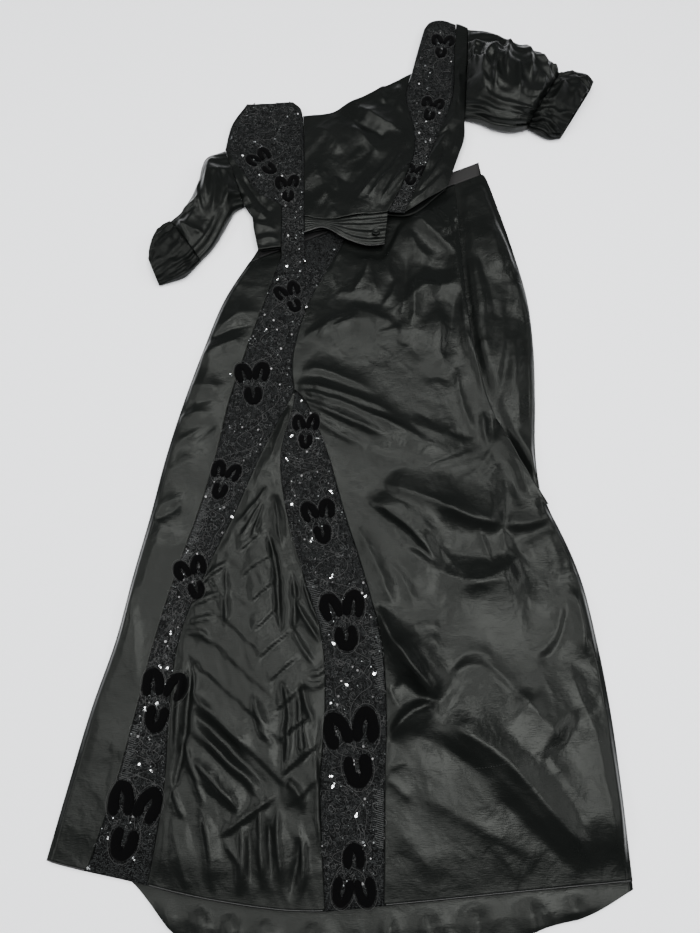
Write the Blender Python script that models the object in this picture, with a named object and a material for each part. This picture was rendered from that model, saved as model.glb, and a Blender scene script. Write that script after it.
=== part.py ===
"""Two-piece mourning dress in black satin, laid flat on its back.

The skirt lies on the floor: a flat back panel with a short train, and on it the front
panels, sewn edge to edge. The bodice lies over the skirt's waist, turned to the left.
Metres, +Z up, +Y towards the shoulders. The origin is on the skirt's flat underside.
"""
import math

import bmesh
import bpy
import numpy as np
from mathutils import Vector
from mathutils.bvhtree import BVHTree

# Cloth
SATIN = 0.0016            # thickness of a satin wall with its seam allowances
NET = 0.0013              # thickness of beaded net on its ground
BACK = 0.0015             # thickness of the layer that lies on the floor
GAP = 0.0003              # between pieces that touch
SEAM_PULL = 0.00020       # how far each piece stays back from its seam line

# Skirt
WAIST_MIDDLE = 0.306      # y of the skirt's top edge at x = 0
WAIST_SLOPE = 0.45        # the waist is turned by 24 degrees
WAISTBAND = 0.028         # height of the band along y
FRONT_HEM = dict(
    x=(-0.420, -0.379, -0.274, -0.162, -0.050, 0.040, 0.190, 0.355),
    y=(-0.668, -0.680, -0.702, -0.724, -0.735, -0.729, -0.716, -0.702),
)
TRAIN = dict(             # how far the back hem reaches past the front hem
    x=(-0.420, -0.268, -0.250, -0.224, -0.190, -0.120, 0.000,
       0.080, 0.160, 0.220, 0.300, 0.345, 0.360),
    reach=(0.003, 0.003, 0.016, 0.036, 0.058, 0.085, 0.100,
           0.090, 0.064, 0.044, 0.030, 0.012, 0.006),
)
TRAIN_ROWS = 4
BACK_ROWS = 10
BACK_COLUMNS = 18
WAIST_LEFT = -0.152
WAIST_RIGHT = 0.226
HEM_LEFT = -0.378
HEM_RIGHT = 0.350
DRAPE_MEETS_OUTLINE = -0.20
SKIRT_ROWS = 30
STAR_ROW = 9              # the row where the second net band and the inset begin
STAR = (-0.0875, -0.036)  # where the bands meet, a hand below the waist
STAR_INSET = 0.0022       # widths with which inset and band leave that point
STAR_BAND = 0.0034
FOLDS_BEGIN = (0.020, 0.065)   # the folds grow over this reach below the bodice's edge
EDGE_SETTLES = 0.020           # and settle over this width at the skirt's side edge
HEM_SETTLES = 0.06             # and over this height above its hem
HEM_FOLD_SHARE = 0.35          # what is left of a fold's height at the hem itself

# The drape's free edge and the side panel that comes out from under it.
DRAPE_LIFT = 0.0023            # height of the free edge on the side panel
DRAPE_RISES = (-0.036, -0.014)     # where, measured from that edge, the drape climbs
DRAPE_FREE = (-0.235, -0.205)      # y over which the edge comes free
DRAPE_EDGE_SETTLES = 0.012
OVERLAP = 0.012                # how far the side panel reaches under the drape
SIDE_SHOWN = 0.002             # its first column to the right of the edge
SIDE_LEAST = 0.003             # its least width there
SIDE_FOLDS_BEGIN = (0.003, 0.024)
SIDE_EDGE_SETTLES = 0.014
SIDE_ROWS = 16
SIDE_END = -0.215              # y where the side panel has gone under the drape

# Bodice
BODICE_OVER_SKIRT = 0.0066    # height of the bodice's underside where the skirt lies below
BODICE_PUFF = 0.010           # rise of the bodice front in its middle
BODICE_CENTRE = (0.02, 0.42)
BODICE_SPREAD = (0.11, 0.12)
BODICE_FOLD_SHARE = 0.4       # what is left of a fold's height far from that middle
WAIST_RAMP = 0.060            # over this length it comes down from the skirt to the floor
RAMP_BEGINS = 0.004
BODICE_CLEAR = 0.0007         # air between its back and its front where they lie flat
STRIP_SETTLES = (0.004, 0.024)    # the net strip comes down on the skirt below the edge

SKIRT_SEAMS = dict(
    y=(0.40, 0.31, 0.22, 0.13, 0.04, -0.05, -0.14, -0.23, -0.32, -0.41, -0.50, -0.59, -0.68, -0.77),
    outline_left=(-0.080, -0.115, -0.158, -0.204, -0.232, -0.256, -0.276, -0.291,
                  -0.308, -0.323, -0.346, -0.364, -0.381, -0.397),
    band_a_left=(-0.060, -0.085, -0.112, -0.136, -0.162, -0.185, -0.201, -0.221,
                 -0.246, -0.268, -0.284, -0.301, -0.325, -0.350),
    band_a_right=(0.035, 0.015, -0.020, -0.064, -0.088, -0.096, -0.134, -0.168,
                  -0.206, -0.236, -0.241, -0.240, -0.248, -0.262),
    band_b_left=(-0.100, -0.100, -0.100, -0.100, -0.096, -0.087, -0.104, -0.092,
                 -0.066, -0.038, -0.033, -0.038, -0.034, -0.028),
    band_b_right=(-0.140, -0.130, -0.120, -0.108, -0.094, -0.066, -0.033, -0.008,
                  0.020, 0.042, 0.048, 0.045, 0.043, 0.040),
    drape_right=(0.180, 0.182, 0.184, 0.187, 0.194, 0.212, 0.247, 0.294,
                 0.326, 0.340, 0.348, 0.351, 0.3515, 0.3515),
    outline_right=(0.226, 0.246, 0.270, 0.288, 0.291, 0.286, 0.279, 0.284,
                   0.296, 0.310, 0.318, 0.321, 0.321, 0.321),
)

FOLD_PIECES = 8           # straight pieces of a fold's curved run
FOLD_FADE = 0.22          # share of its run over which a fold rises and sinks

# Folds of the skirt front: the run of each ridge, its height and its half width.
SKIRT_FOLDS = (
    # x0, y0, x1, y1, x2, y2, height, half width
    (0.172, 0.245, 0.150, 0.270, 0.110, 0.305, 0.012, 0.020),
    (0.170, 0.270, 0.176, 0.120, 0.222, -0.075, 0.013, 0.016),
    (0.222, -0.075, 0.262, -0.140, 0.300, -0.230, 0.010, 0.018),
    (-0.085, -0.030, -0.020, -0.050, 0.045, -0.066, 0.012, 0.013),
    (-0.080, -0.036, 0.010, -0.085, 0.125, -0.120, 0.016, 0.016),
    (-0.078, -0.046, 0.020, -0.110, 0.190, -0.136, 0.012, 0.016),
    (-0.060, 0.055, -0.020, 0.090, 0.060, 0.085, 0.012, 0.018),
    (0.060, 0.085, 0.090, 0.150, 0.165, 0.160, 0.010, 0.018),
    (0.020, 0.235, 0.035, 0.160, 0.030, 0.110, 0.010, 0.018),
    (0.140, -0.010, 0.150, 0.050, 0.140, 0.120, 0.009, 0.022),
    (0.120, -0.320, 0.190, -0.345, 0.250, -0.315, 0.014, 0.026),
    (0.030, -0.200, 0.110, -0.240, 0.190, -0.225, 0.010, 0.026),
    (0.045, -0.400, 0.085, -0.440, 0.125, -0.495, 0.020, 0.022),
    (0.125, -0.495, 0.090, -0.510, 0.050, -0.530, 0.012, 0.018),
    (0.075, -0.500, 0.190, -0.560, 0.290, -0.690, 0.013, 0.026),
    (0.215, -0.475, 0.250, -0.510, 0.285, -0.545, 0.013, 0.024),
    (0.300, -0.330, 0.328, -0.380, 0.320, -0.450, 0.010, 0.018),
    (0.318, -0.500, 0.332, -0.590, 0.338, -0.690, 0.010, 0.018),
    (0.255, -0.130, 0.262, -0.020, 0.250, 0.080, 0.009, 0.018),
    (0.262, 0.160, 0.245, 0.215, 0.228, 0.300, 0.009, 0.016),
    (-0.205, 0.080, -0.225, -0.020, -0.250, -0.110, 0.009, 0.018),
    (-0.262, -0.200, -0.290, -0.330, -0.330, -0.520, 0.009, 0.022),
    (-0.170, 0.140, -0.190, 0.080, -0.200, 0.000, 0.006, 0.018),
)

# Pleats of the inset: they fan from the dark crease beside the first net band.
INSET_PLEATS = (
    # x0, y0, x1, y1, height, half width
    (-0.170, -0.310, -0.120, -0.250, 0.0035, 0.0075),
    (-0.180, -0.355, -0.100, -0.275, 0.0035, 0.0075),
    (-0.195, -0.400, -0.085, -0.310, 0.0035, 0.0075),
    (-0.205, -0.440, -0.078, -0.350, 0.0035, 0.0075),
    (-0.215, -0.475, -0.085, -0.405, 0.0030, 0.0075),
    (-0.220, -0.505, -0.095, -0.590, 0.0040, 0.0085),
    (-0.222, -0.520, -0.130, -0.645, 0.0040, 0.0085),
    (-0.222, -0.540, -0.170, -0.690, 0.0040, 0.0085),
    (-0.060, -0.330, -0.075, -0.540, 0.0040, 0.0090),
    (-0.085, -0.560, -0.080, -0.715, 0.0030, 0.0080),
    (-0.055, -0.560, -0.050, -0.715, 0.0030, 0.0080),
)

TRAIN_FOLDS = dict(
    x=(-0.225, -0.165, -0.105, -0.045, 0.000, 0.070, 0.140, 0.205, 0.265),
    height=(0.004, 0.006, 0.004, 0.006, 0.008, 0.005, 0.006, 0.005, 0.004),
    half_width=0.016,
    begin=(0.002, 0.028),
)

# Bodice seams, from top to bottom, and its free edges.
YOKE_OUTER = ((-0.186, 0.533), (-0.211, 0.484), (-0.219, 0.429))
YOKE_LOWER = ((-0.219, 0.429), (-0.191, 0.388), (-0.152, 0.332), (-0.117, 0.312))
STRIP_LEFT = ((-0.117, 0.312), (-0.115, 0.268), (-0.114, 0.223))
STRIP_LEFT_TAIL = ((-0.114, 0.223), (-0.113, 0.200), (-0.113, 0.177))
YOKE_INNER_TOP = ((-0.103, 0.536), (-0.089, 0.522), (-0.084, 0.502))
YOKE_INNER = ((-0.084, 0.502), (-0.080, 0.430), (-0.079, 0.370), (-0.078, 0.312))
STRIP_RIGHT = ((-0.078, 0.312), (-0.0775, 0.296), (-0.077, 0.284))
STRIP_RIGHT_SASH = ((-0.077, 0.284), (-0.0765, 0.268), (-0.076, 0.252))
STRIP_RIGHT_TAIL = ((-0.076, 0.252), (-0.0755, 0.215), (-0.075, 0.177))
ARMHOLE_LEFT = ((-0.219, 0.428), (-0.200, 0.370), (-0.181, 0.312))
SIDE_LEFT = ((-0.181, 0.312), (-0.167, 0.290), (-0.161, 0.258), (-0.152, 0.217))
NECKLINE = ((-0.084, 0.502), (-0.036, 0.507), (0.008, 0.539), (0.060, 0.570), (0.113, 0.604))
LACE_LEFT_TOP = ((0.140, 0.714), (0.125, 0.655), (0.113, 0.604))
LACE_LEFT = ((0.113, 0.604), (0.101, 0.550), (0.112, 0.480),
             (0.112, 0.424), (0.086, 0.339), (0.064, 0.290))
LACE_RIGHT = ((0.201, 0.728), (0.193, 0.632), (0.184, 0.537),
              (0.157, 0.462), (0.130, 0.381), (0.092, 0.288))
SHOULDER = ((0.140, 0.714), (0.152, 0.733), (0.176, 0.740), (0.201, 0.728))
ARMHOLE_RIGHT = ((0.2230, 0.716), (0.214, 0.609), (0.205, 0.502))
SIDE_RIGHT = ((0.205, 0.502), (0.202, 0.453), (0.190, 0.415), (0.166, 0.342))
SASH_TOP = ((-0.077, 0.284), (-0.030, 0.276), (0.020, 0.284), (0.064, 0.290))
SASH_BOTTOM = ((-0.076, 0.252), (-0.047, 0.260), (-0.008, 0.238), (0.030, 0.225), (0.057, 0.227))
SASH_END = ((0.064, 0.290), (0.061, 0.259), (0.057, 0.227))
BACK_OUTER_LEFT = ((-0.183, 0.529), (-0.208, 0.482), (-0.2165, 0.429), (-0.197, 0.370),
                   (-0.179, 0.313), (-0.165, 0.289), (-0.159, 0.258), (-0.150, 0.220))
BACK_MID_LEFT = ((-0.085, 0.492), (-0.080, 0.430), (-0.078, 0.312), (-0.077, 0.255))
BACK_MID_RIGHT = ((0.113, 0.595), (0.102, 0.550), (0.112, 0.480),
                  (0.112, 0.424), (0.086, 0.339), (0.064, 0.292))
BACK_OUTER_RIGHT = ((0.2210, 0.714), (0.2125, 0.609), (0.204, 0.503),
                    (0.201, 0.453), (0.188, 0.415), (0.164, 0.344))
BACK_NECK = ((-0.085, 0.492), (-0.036, 0.494), (0.010, 0.525), (0.063, 0.557), (0.113, 0.595))
BACK_SHOULDER = ((0.113, 0.595), (0.128, 0.652), (0.143, 0.710),
                 (0.174, 0.736), (0.200, 0.725), (0.2210, 0.714))
BACK_HEM_LEFT = ((-0.150, 0.220), (-0.114, 0.226), (-0.077, 0.255))
BACK_HEM_MIDDLE = ((-0.077, 0.255), (-0.047, 0.262), (0.000, 0.262), (0.064, 0.292))
BACK_HEM_RIGHT = ((0.064, 0.292), (0.092, 0.290), (0.164, 0.344))
BODICE_EDGE = dict(
    x=(-0.30, -0.152, -0.114, -0.078, -0.047, -0.008, 0.033, 0.055, 0.084, 0.166, 0.30),
    y=(0.180, 0.216, 0.223, 0.252, 0.258, 0.237, 0.225, 0.228, 0.285, 0.342, 0.400),
)

SASH_GATHERS = dict(count=4, height=0.0030, begin=-0.010, full=0.030)
SASH_ROWS = 8

BODICE_FOLDS = (
    # x0, y0, x1, y1, x2, y2, height, half width
    (0.170, 0.560, 0.140, 0.430, 0.095, 0.310, 0.007, 0.014),
    (0.190, 0.500, 0.175, 0.430, 0.150, 0.350, 0.006, 0.012),
    (0.085, 0.520, 0.070, 0.430, 0.045, 0.330, 0.007, 0.016),
    (0.050, 0.545, 0.030, 0.450, 0.030, 0.330, 0.006, 0.016),
    (-0.010, 0.480, 0.000, 0.400, 0.025, 0.310, 0.005, 0.016),
    (-0.050, 0.430, -0.030, 0.360, 0.010, 0.295, 0.005, 0.016),
    (-0.190, 0.370, -0.165, 0.300, -0.140, 0.240, 0.005, 0.016),
)

# Sleeve sections from the armhole to the cuff's end: both edges, then the height there.
SLEEVE_RIGHT = (
    # outer x, outer y, inner x, inner y, height
    (0.2230, 0.7160, 0.2050, 0.5020, 0.020),
    (0.2600, 0.6960, 0.2320, 0.4900, 0.040),
    (0.3000, 0.6640, 0.2560, 0.4760, 0.050),
    (0.3400, 0.6340, 0.2850, 0.4700, 0.050),
    (0.3700, 0.6120, 0.3050, 0.4740, 0.040),
    (0.3850, 0.6000, 0.3170, 0.4800, 0.030),
)
CUFF_RIGHT = (
    (0.4080, 0.6030, 0.3320, 0.4680, 0.034),
    (0.4290, 0.5950, 0.3520, 0.4570, 0.032),
    (0.4420, 0.5760, 0.3740, 0.4600, 0.024),
)
SLEEVE_LEFT = (
    (-0.2190, 0.4280, -0.1810, 0.3120, 0.018),
    (-0.2520, 0.4060, -0.1950, 0.3000, 0.026),
    (-0.2610, 0.3520, -0.2030, 0.2830, 0.028),
    (-0.2820, 0.3000, -0.2250, 0.2330, 0.026),
    (-0.3030, 0.2770, -0.2480, 0.2010, 0.022),
)
CUFF_LEFT = (
    (-0.3240, 0.2550, -0.2700, 0.1730, 0.026),
    (-0.3320, 0.2330, -0.2930, 0.1630, 0.024),
    (-0.3340, 0.2050, -0.3130, 0.1570, 0.018),
)
SLEEVE_WALL = 0.0022
SIDE_LEVEL = 0.32             # height of a sleeve's widest place, as a share of the whole
# Powers that round a sleeve's section: its sides and its top above that place, its sides
# and its rise below it, and how soon it leaves the floor.
ROUND_SIDE = 0.8
ROUND_TOP = 0.85
ROUND_SIDE_BELOW = 0.5
ROUND_RISE_BELOW = 0.5
LEAVES_FLOOR = 1.25
SLEEVE_RINGS_BETWEEN = 2      # rings from one section to the next
SLEEVE_SPREAD = 0.4           # sideways share of a gather's height
GATHERS_FROM = (0.15, 0.6)    # gathers grow between these shares of a sleeve's height
PUFF_GATHERS = 16
PUFF_GATHER_DEPTH = 0.0022
LEFT_GATHERS = 8
LEFT_GATHER_DEPTH = 0.0012
CUFF_GATHERS = 14
CUFF_GATHER_DEPTH = 0.0016
RING_POINTS_RIGHT = 38
RING_POINTS_LEFT = 26

# Velvet flowers: where each lies, how far it is turned and its radius.
FLOWERS = (
    # name, x, y, turn in degrees, radius
    ("flower_band_a_1", -0.096, 0.131, 25, 0.027),
    ("flower_band_a_2", -0.151, -0.022, 5, 0.034),
    ("flower_band_a_3", -0.188, -0.180, -15, 0.028),
    ("flower_band_a_4", -0.221, -0.326, 20, 0.029),
    ("flower_band_a_5", -0.253, -0.490, -10, 0.038),
    ("flower_band_a_6", -0.280, -0.636, -12, 0.043),
    ("flower_band_b_1", -0.067, -0.103, 0, 0.026),
    ("flower_band_b_2", -0.043, -0.243, 12, 0.031),
    ("flower_band_b_3", -0.008, -0.385, 8, 0.039),
    ("flower_band_b_4", 0.006, -0.549, 10, 0.046),
    ("flower_band_b_5", 0.005, -0.694, 180, 0.034),
    ("flower_yoke_1", -0.150, 0.402, 40, 0.028),
    ("flower_yoke_2", -0.107, 0.345, 5, 0.026),
    ("flower_lace_1", 0.172, 0.672, -10, 0.027),
    ("flower_lace_2", 0.146, 0.520, -15, 0.026),
    ("flower_lace_3", 0.108, 0.366, -20, 0.023),
)
# A flower's lobes: two above, side by side, and a longer one below.
LOBES = (
    # direction in degrees, half width in degrees, reach
    (48, 40, 0.86),
    (132, 40, 0.86),
    (268, 50, 1.00),
)
LOBE_STEPS = (-1.0, -0.74, -0.30, 0.30, 0.74, 1.0)
NOTCH = 0.34              # reach of the outline between two lobes
CREST = 0.66              # reach of the pile's thickest line, as a share of the outline's
FLOWER_POINTS = len(LOBES) * len(LOBE_STEPS)
FLOWER_RIM = 0.0022       # thickness of the pile there
FLOWER_EDGE = 0.0012
FLOWER_SEAT = 0.0004      # air below a flower
# Where each facet of a flower's underside is held clear of the panel, as shares of the
# way from its middle to its two outline points.
FACET_TESTS = ((0.25, 0.25), (0.5, 0.0), (0.5, 0.5), (0.75, 0.0), (0.7, 0.15), (0.15, 0.7), (0.25, 0.0))

BUTTON_AT = (0.043, 0.247)
BUTTON_RADIUS = 0.007
BUTTON_HEIGHT = 0.004
BUTTON_ROUNDING = 0.0018

SHARP_ANGLE = math.radians(50)


def material(name, colour, roughness, sheen=0.0):
    made = bpy.data.materials.new(name)
    made.use_nodes = True
    shader = made.node_tree.nodes["Principled BSDF"]
    shader.inputs["Base Color"].default_value = (*colour, 1.0)
    shader.inputs["Roughness"].default_value = roughness
    shader.inputs["Metallic"].default_value = 0.0
    shader.inputs["Sheen Weight"].default_value = sheen
    return made


def clear_scene():
    for item in list(bpy.data.objects):
        bpy.data.objects.remove(item, do_unlink=True)


def smoothstep(low, high, value):
    share = min(1.0, max(0.0, (value - low) / (high - low)))
    return share * share * (3.0 - 2.0 * share)


def table_curve(xs, ys):
    """A smooth function through a table of rising or falling xs (Catmull-Rom slopes)."""
    order = np.argsort(xs)
    knots = np.asarray(xs, float)[order]
    values = np.asarray(ys, float)[order]
    slopes = np.gradient(values, knots)

    def read(at):
        at = min(max(at, knots[0]), knots[-1])
        left = int(min(max(np.searchsorted(knots, at) - 1, 0), len(knots) - 2))
        width = knots[left + 1] - knots[left]
        share = (at - knots[left]) / width
        square = share * share
        cube = square * share
        return ((2 * cube - 3 * square + 1) * values[left]
                + (cube - 2 * square + share) * width * slopes[left]
                + (3 * square - 2 * cube) * values[left + 1]
                + (cube - square) * width * slopes[left + 1])

    return read


def along(points, steps):
    """Points at equal steps along a smooth curve through the given ones."""
    points = [Vector(p) for p in points]
    lengths = [0.0]
    for start, end in zip(points, points[1:]):
        lengths.append(lengths[-1] + (end - start).length)
    read_x = table_curve(lengths, [p.x for p in points])
    read_y = table_curve(lengths, [p.y for p in points])
    return [Vector((read_x(lengths[-1] * k / steps), read_y(lengths[-1] * k / steps)))
            for k in range(steps + 1)]


def fold_profile(fold, x, y):
    """Height of one curved ridge at a point; it fades out towards both its ends."""
    x0, y0, x1, y1, x2, y2, height, half_width = fold
    best = math.inf
    best_share = 0.0
    before = (x0, y0)
    for k in range(1, FOLD_PIECES + 1):
        t = k / FOLD_PIECES
        after = ((1 - t) ** 2 * x0 + 2 * t * (1 - t) * x1 + t * t * x2,
                 (1 - t) ** 2 * y0 + 2 * t * (1 - t) * y1 + t * t * y2)
        dx = after[0] - before[0]
        dy = after[1] - before[1]
        share = ((x - before[0]) * dx + (y - before[1]) * dy) / (dx * dx + dy * dy)
        share = min(1.0, max(0.0, share))
        distance = math.hypot(x - before[0] - share * dx, y - before[1] - share * dy)
        if distance < best:
            best = distance
            best_share = (k - 1 + share) / FOLD_PIECES
        before = after
    if best > 3.0 * half_width:
        return 0.0
    fade = smoothstep(0.0, FOLD_FADE, best_share) * smoothstep(0.0, FOLD_FADE, 1.0 - best_share)
    return height * fade * math.exp(-(best / half_width) ** 2)


def fold_height(folds, x, y):
    """Ridges that cross don't pile up: the cube root of the sum of their cubes."""
    total = sum(fold_profile(fold, x, y) ** 3 for fold in folds)
    return total ** (1.0 / 3.0)


def straight_fold(x0, y0, x1, y1, height, half_width):
    return (x0, y0, (x0 + x1) / 2, (y0 + y1) / 2, x1, y1, height, half_width)


def waist_y(x):
    return WAIST_MIDDLE + WAIST_SLOPE * x


seam_x = {name: table_curve(SKIRT_SEAMS["y"], column)
          for name, column in SKIRT_SEAMS.items() if name != "y"}
hem_y = table_curve(FRONT_HEM["x"], FRONT_HEM["y"])
train_reach = table_curve(TRAIN["x"], TRAIN["reach"])
bodice_edge_y = table_curve(BODICE_EDGE["x"], BODICE_EDGE["y"])
sash_top_y = table_curve([p[0] for p in SASH_TOP], [p[1] for p in SASH_TOP])
sash_bottom_y = table_curve([p[0] for p in SASH_BOTTOM], [p[1] for p in SASH_BOTTOM])


def where(line, seam, drop=0.0):
    """The y at which a seam meets the waist or hem line, by fixed-point steps."""
    y = line(0.0) - drop
    for _ in range(12):
        y = line(seam_x[seam](y)) - drop
    return y


def skirt_seam(name):
    """A seam's points from the waistband to the hem, or from the star point on."""
    top = where(waist_y, name, WAISTBAND)
    bottom = where(hem_y, name)
    points = [None] * (SKIRT_ROWS + 1)
    if name in ("band_b_left", "band_b_right"):
        offset = STAR_INSET if name == "band_b_left" else STAR_INSET + STAR_BAND
        for row in range(STAR_ROW, SKIRT_ROWS + 1):
            share = (row - STAR_ROW) / (SKIRT_ROWS - STAR_ROW)
            y = STAR[1] + (bottom - STAR[1]) * share
            points[row] = Vector((seam_x[name](y), y))
        points[STAR_ROW] = Vector((STAR[0] + offset, STAR[1]))
        return points
    for row in range(SKIRT_ROWS + 1):
        if name == "band_a_right" and row <= STAR_ROW:
            y = top + (STAR[1] - top) * row / STAR_ROW
        elif name == "band_a_right":
            y = STAR[1] + (bottom - STAR[1]) * (row - STAR_ROW) / (SKIRT_ROWS - STAR_ROW)
        else:
            y = top + (bottom - top) * row / SKIRT_ROWS
        points[row] = Vector((seam_x[name](y), y))
    if name == "band_a_right":
        points[STAR_ROW] = Vector(STAR)
    return points


INSET_FOLDS = [straight_fold(*pleat) for pleat in INSET_PLEATS]


def skirt_low(x, y):
    """Underside of the skirt front: it lies on the back and rises in the folds."""
    settle = smoothstep(*FOLDS_BEGIN, bodice_edge_y(x) - y)
    near_edge = smoothstep(0.0, EDGE_SETTLES, x - seam_x["outline_left"](y))
    near_hem = HEM_FOLD_SHARE + (1.0 - HEM_FOLD_SHARE) * smoothstep(0.0, HEM_SETTLES, y - hem_y(x))
    rise = fold_height(SKIRT_FOLDS, x, y) + fold_height(INSET_FOLDS, x, y)
    return BACK + GAP + rise * settle * near_edge * near_hem


def drape_low(x, y):
    """The drape also lies on the side panel along its free edge."""
    edge = seam_x["drape_right"](y)
    overlap = smoothstep(*DRAPE_FREE, y)
    lift = DRAPE_LIFT * smoothstep(*DRAPE_RISES, x - edge) * overlap
    outline = 1.0 - (1.0 - smoothstep(0.0, DRAPE_EDGE_SETTLES, edge - x)) * (1.0 - overlap)
    return BACK + GAP + (skirt_low(x, y) - BACK - GAP) * outline + lift


def side_low(x, y):
    hidden = smoothstep(*SIDE_FOLDS_BEGIN, x - seam_x["drape_right"](y))
    edge = smoothstep(0.0, SIDE_EDGE_SETTLES, seam_x["outline_right"](y) - x)
    return BACK + GAP + (skirt_low(x, y) - BACK - GAP) * hidden * edge


def back_low(x, y):
    """The back lies flat; past the front hem its train has low upright folds."""
    past_hem = smoothstep(*TRAIN_FOLDS["begin"], hem_y(x) - y)
    rise = sum(height * math.exp(-((x - at) / TRAIN_FOLDS["half_width"]) ** 2)
               for at, height in zip(TRAIN_FOLDS["x"], TRAIN_FOLDS["height"]))
    return rise * past_hem


def over_skirt(x, y):
    """How much the skirt lies below a point of the bodice, from 0 to 1."""
    ramp = (RAMP_BEGINS, RAMP_BEGINS + WAIST_RAMP)
    above = smoothstep(*ramp, y - waist_y(x))
    past_left = smoothstep(*ramp, seam_x["outline_left"](y) - x)
    past_right = smoothstep(*ramp, x - seam_x["outline_right"](y))
    return 1.0 - max(above, past_left, past_right)


def bodice_back_low(x, y):
    return BODICE_OVER_SKIRT * over_skirt(x, y)


def bodice_low(x, y):
    """Underside of the bodice front: the back layer, a gentle rise and the folds."""
    base = bodice_back_low(x, y) + BACK + BODICE_CLEAR
    centre = math.exp(-((x - BODICE_CENTRE[0]) / BODICE_SPREAD[0]) ** 2
                      - ((y - BODICE_CENTRE[1]) / BODICE_SPREAD[1]) ** 2)
    share = BODICE_FOLD_SHARE + (1.0 - BODICE_FOLD_SHARE) * centre
    return base + BODICE_PUFF * centre + fold_height(BODICE_FOLDS, x, y) * share


def sash_low(x, y):
    """The sash is gathered into small level folds at its buttoned end."""
    top = sash_top_y(x)
    share = (top - y) / (top - sash_bottom_y(x))
    wave = 0.5 - 0.5 * math.cos(2.0 * math.pi * SASH_GATHERS["count"] * share)
    fade = smoothstep(SASH_GATHERS["begin"], SASH_GATHERS["full"], x)
    return bodice_low(x, y) + SASH_GATHERS["height"] * wave * fade


def strip_low(x, y):
    """The strip leaves the bodice's edge and comes down on the skirt."""
    past = smoothstep(*STRIP_SETTLES, bodice_edge_y(x) - y)
    on_skirt = skirt_low(x, y) + SATIN + 2.0 * GAP
    return bodice_low(x, y) * (1.0 - past) + on_skirt * past


def coons(left, right, top=None, bottom=None, columns=4):
    """A grid of rows between two seams, with optional curved ends."""
    rows = len(left) - 1
    top = top or [left[0].lerp(right[0], c / columns) for c in range(columns + 1)]
    bottom = bottom or [left[-1].lerp(right[-1], c / columns) for c in range(columns + 1)]
    grid = []
    for r in range(rows + 1):
        v = r / rows
        line = []
        for c in range(columns + 1):
            u = c / columns
            point = left[r].lerp(right[r], u)
            point += (top[c] - left[0].lerp(right[0], u)) * (1.0 - v)
            point += (bottom[c] - left[-1].lerp(right[-1], u)) * v
            line.append(point)
        grid.append(line)
    return grid


def pull_in(grid):
    """Each edge stays a little back from its seam line."""
    rows = len(grid) - 1
    columns = len(grid[0]) - 1
    pulled = [[point.copy() for point in line] for line in grid]
    for r in range(rows + 1):
        pulled[r][0] += (grid[r][1] - grid[r][0]).normalized() * SEAM_PULL
        pulled[r][columns] += (grid[r][columns - 1] - grid[r][columns]).normalized() * SEAM_PULL
    for c in range(columns + 1):
        pulled[0][c] += (grid[1][c] - grid[0][c]).normalized() * SEAM_PULL
        pulled[rows][c] += (grid[rows - 1][c] - grid[rows][c]).normalized() * SEAM_PULL
    return pulled


def add_object(name, vertices, faces, finish):
    mesh = bpy.data.meshes.new(name)
    mesh.from_pydata([tuple(v) for v in vertices], [], faces)
    mesh.materials.append(finish)
    mesh.shade_smooth()
    mesh.set_sharp_from_angle(angle=SHARP_ANGLE)
    made = bpy.data.objects.new(name, mesh)
    bpy.context.scene.collection.objects.link(made)
    return made


def wall(name, grid, low, thickness, finish):
    """A cloth wall over a grid of rows: underside at low(x, y), face a thickness above."""
    grid = pull_in(grid)
    rows = len(grid) - 1
    columns = len(grid[0]) - 1
    under = [Vector((p.x, p.y, low(p.x, p.y))) for line in grid for p in line]
    over = [p + Vector((0.0, 0.0, thickness)) for p in under]
    count = len(under)
    faces = []
    for r in range(rows):
        for c in range(columns):
            here = r * (columns + 1) + c
            below = here + columns + 1
            for face in ((here, below, below + 1), (here, below + 1, here + 1)):
                faces.append(tuple(count + i for i in face))
                faces.append(tuple(reversed(face)))
    rim = list(range(columns))
    rim += [r * (columns + 1) + columns for r in range(rows)]
    rim += [rows * (columns + 1) + columns - c for c in range(columns)]
    rim += [(rows - r) * (columns + 1) for r in range(rows)]
    for here, there in zip(rim, rim[1:] + rim[:1]):
        faces.append((here, count + there, there))
        faces.append((here, count + here, count + there))
    return add_object(name, under + over, faces, finish)


def build_skirt(satin, net, band):
    seam = {name: skirt_seam(name) for name in SKIRT_SEAMS if name != "y"}

    def hem_between(left, right, columns):
        points = []
        for c in range(columns + 1):
            x = left.x + (right.x - left.x) * c / columns
            points.append(Vector((x, hem_y(x))))
        return points

    def panel(name, left, right, columns, low, thickness, finish):
        bottom = hem_between(left[-1], right[-1], columns)
        grid = coons(left, right, bottom=bottom, columns=columns)
        return wall(name, grid, low, thickness, finish)

    lower = slice(STAR_ROW, SKIRT_ROWS + 1)
    inset_left = seam["band_a_right"][lower]
    inset_right = seam["band_b_left"][lower]
    band_right = seam["band_b_right"][lower]
    drape_left = seam["band_a_right"][:STAR_ROW] + band_right
    panels = [
        panel("skirt_gore_left", seam["outline_left"], seam["band_a_left"], 5,
              skirt_low, SATIN, satin),
        panel("skirt_band_left", seam["band_a_left"], seam["band_a_right"], 4,
              skirt_low, NET, net),
        panel("skirt_inset", inset_left, inset_right, 16, skirt_low, SATIN, satin),
        panel("skirt_band_right", inset_right, band_right, 4, skirt_low, NET, net),
        panel("skirt_drape", drape_left, seam["drape_right"], 18, drape_low, SATIN, satin),
    ]
    build_side(satin)
    build_waistband(band)
    build_back(satin)
    return panels


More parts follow.
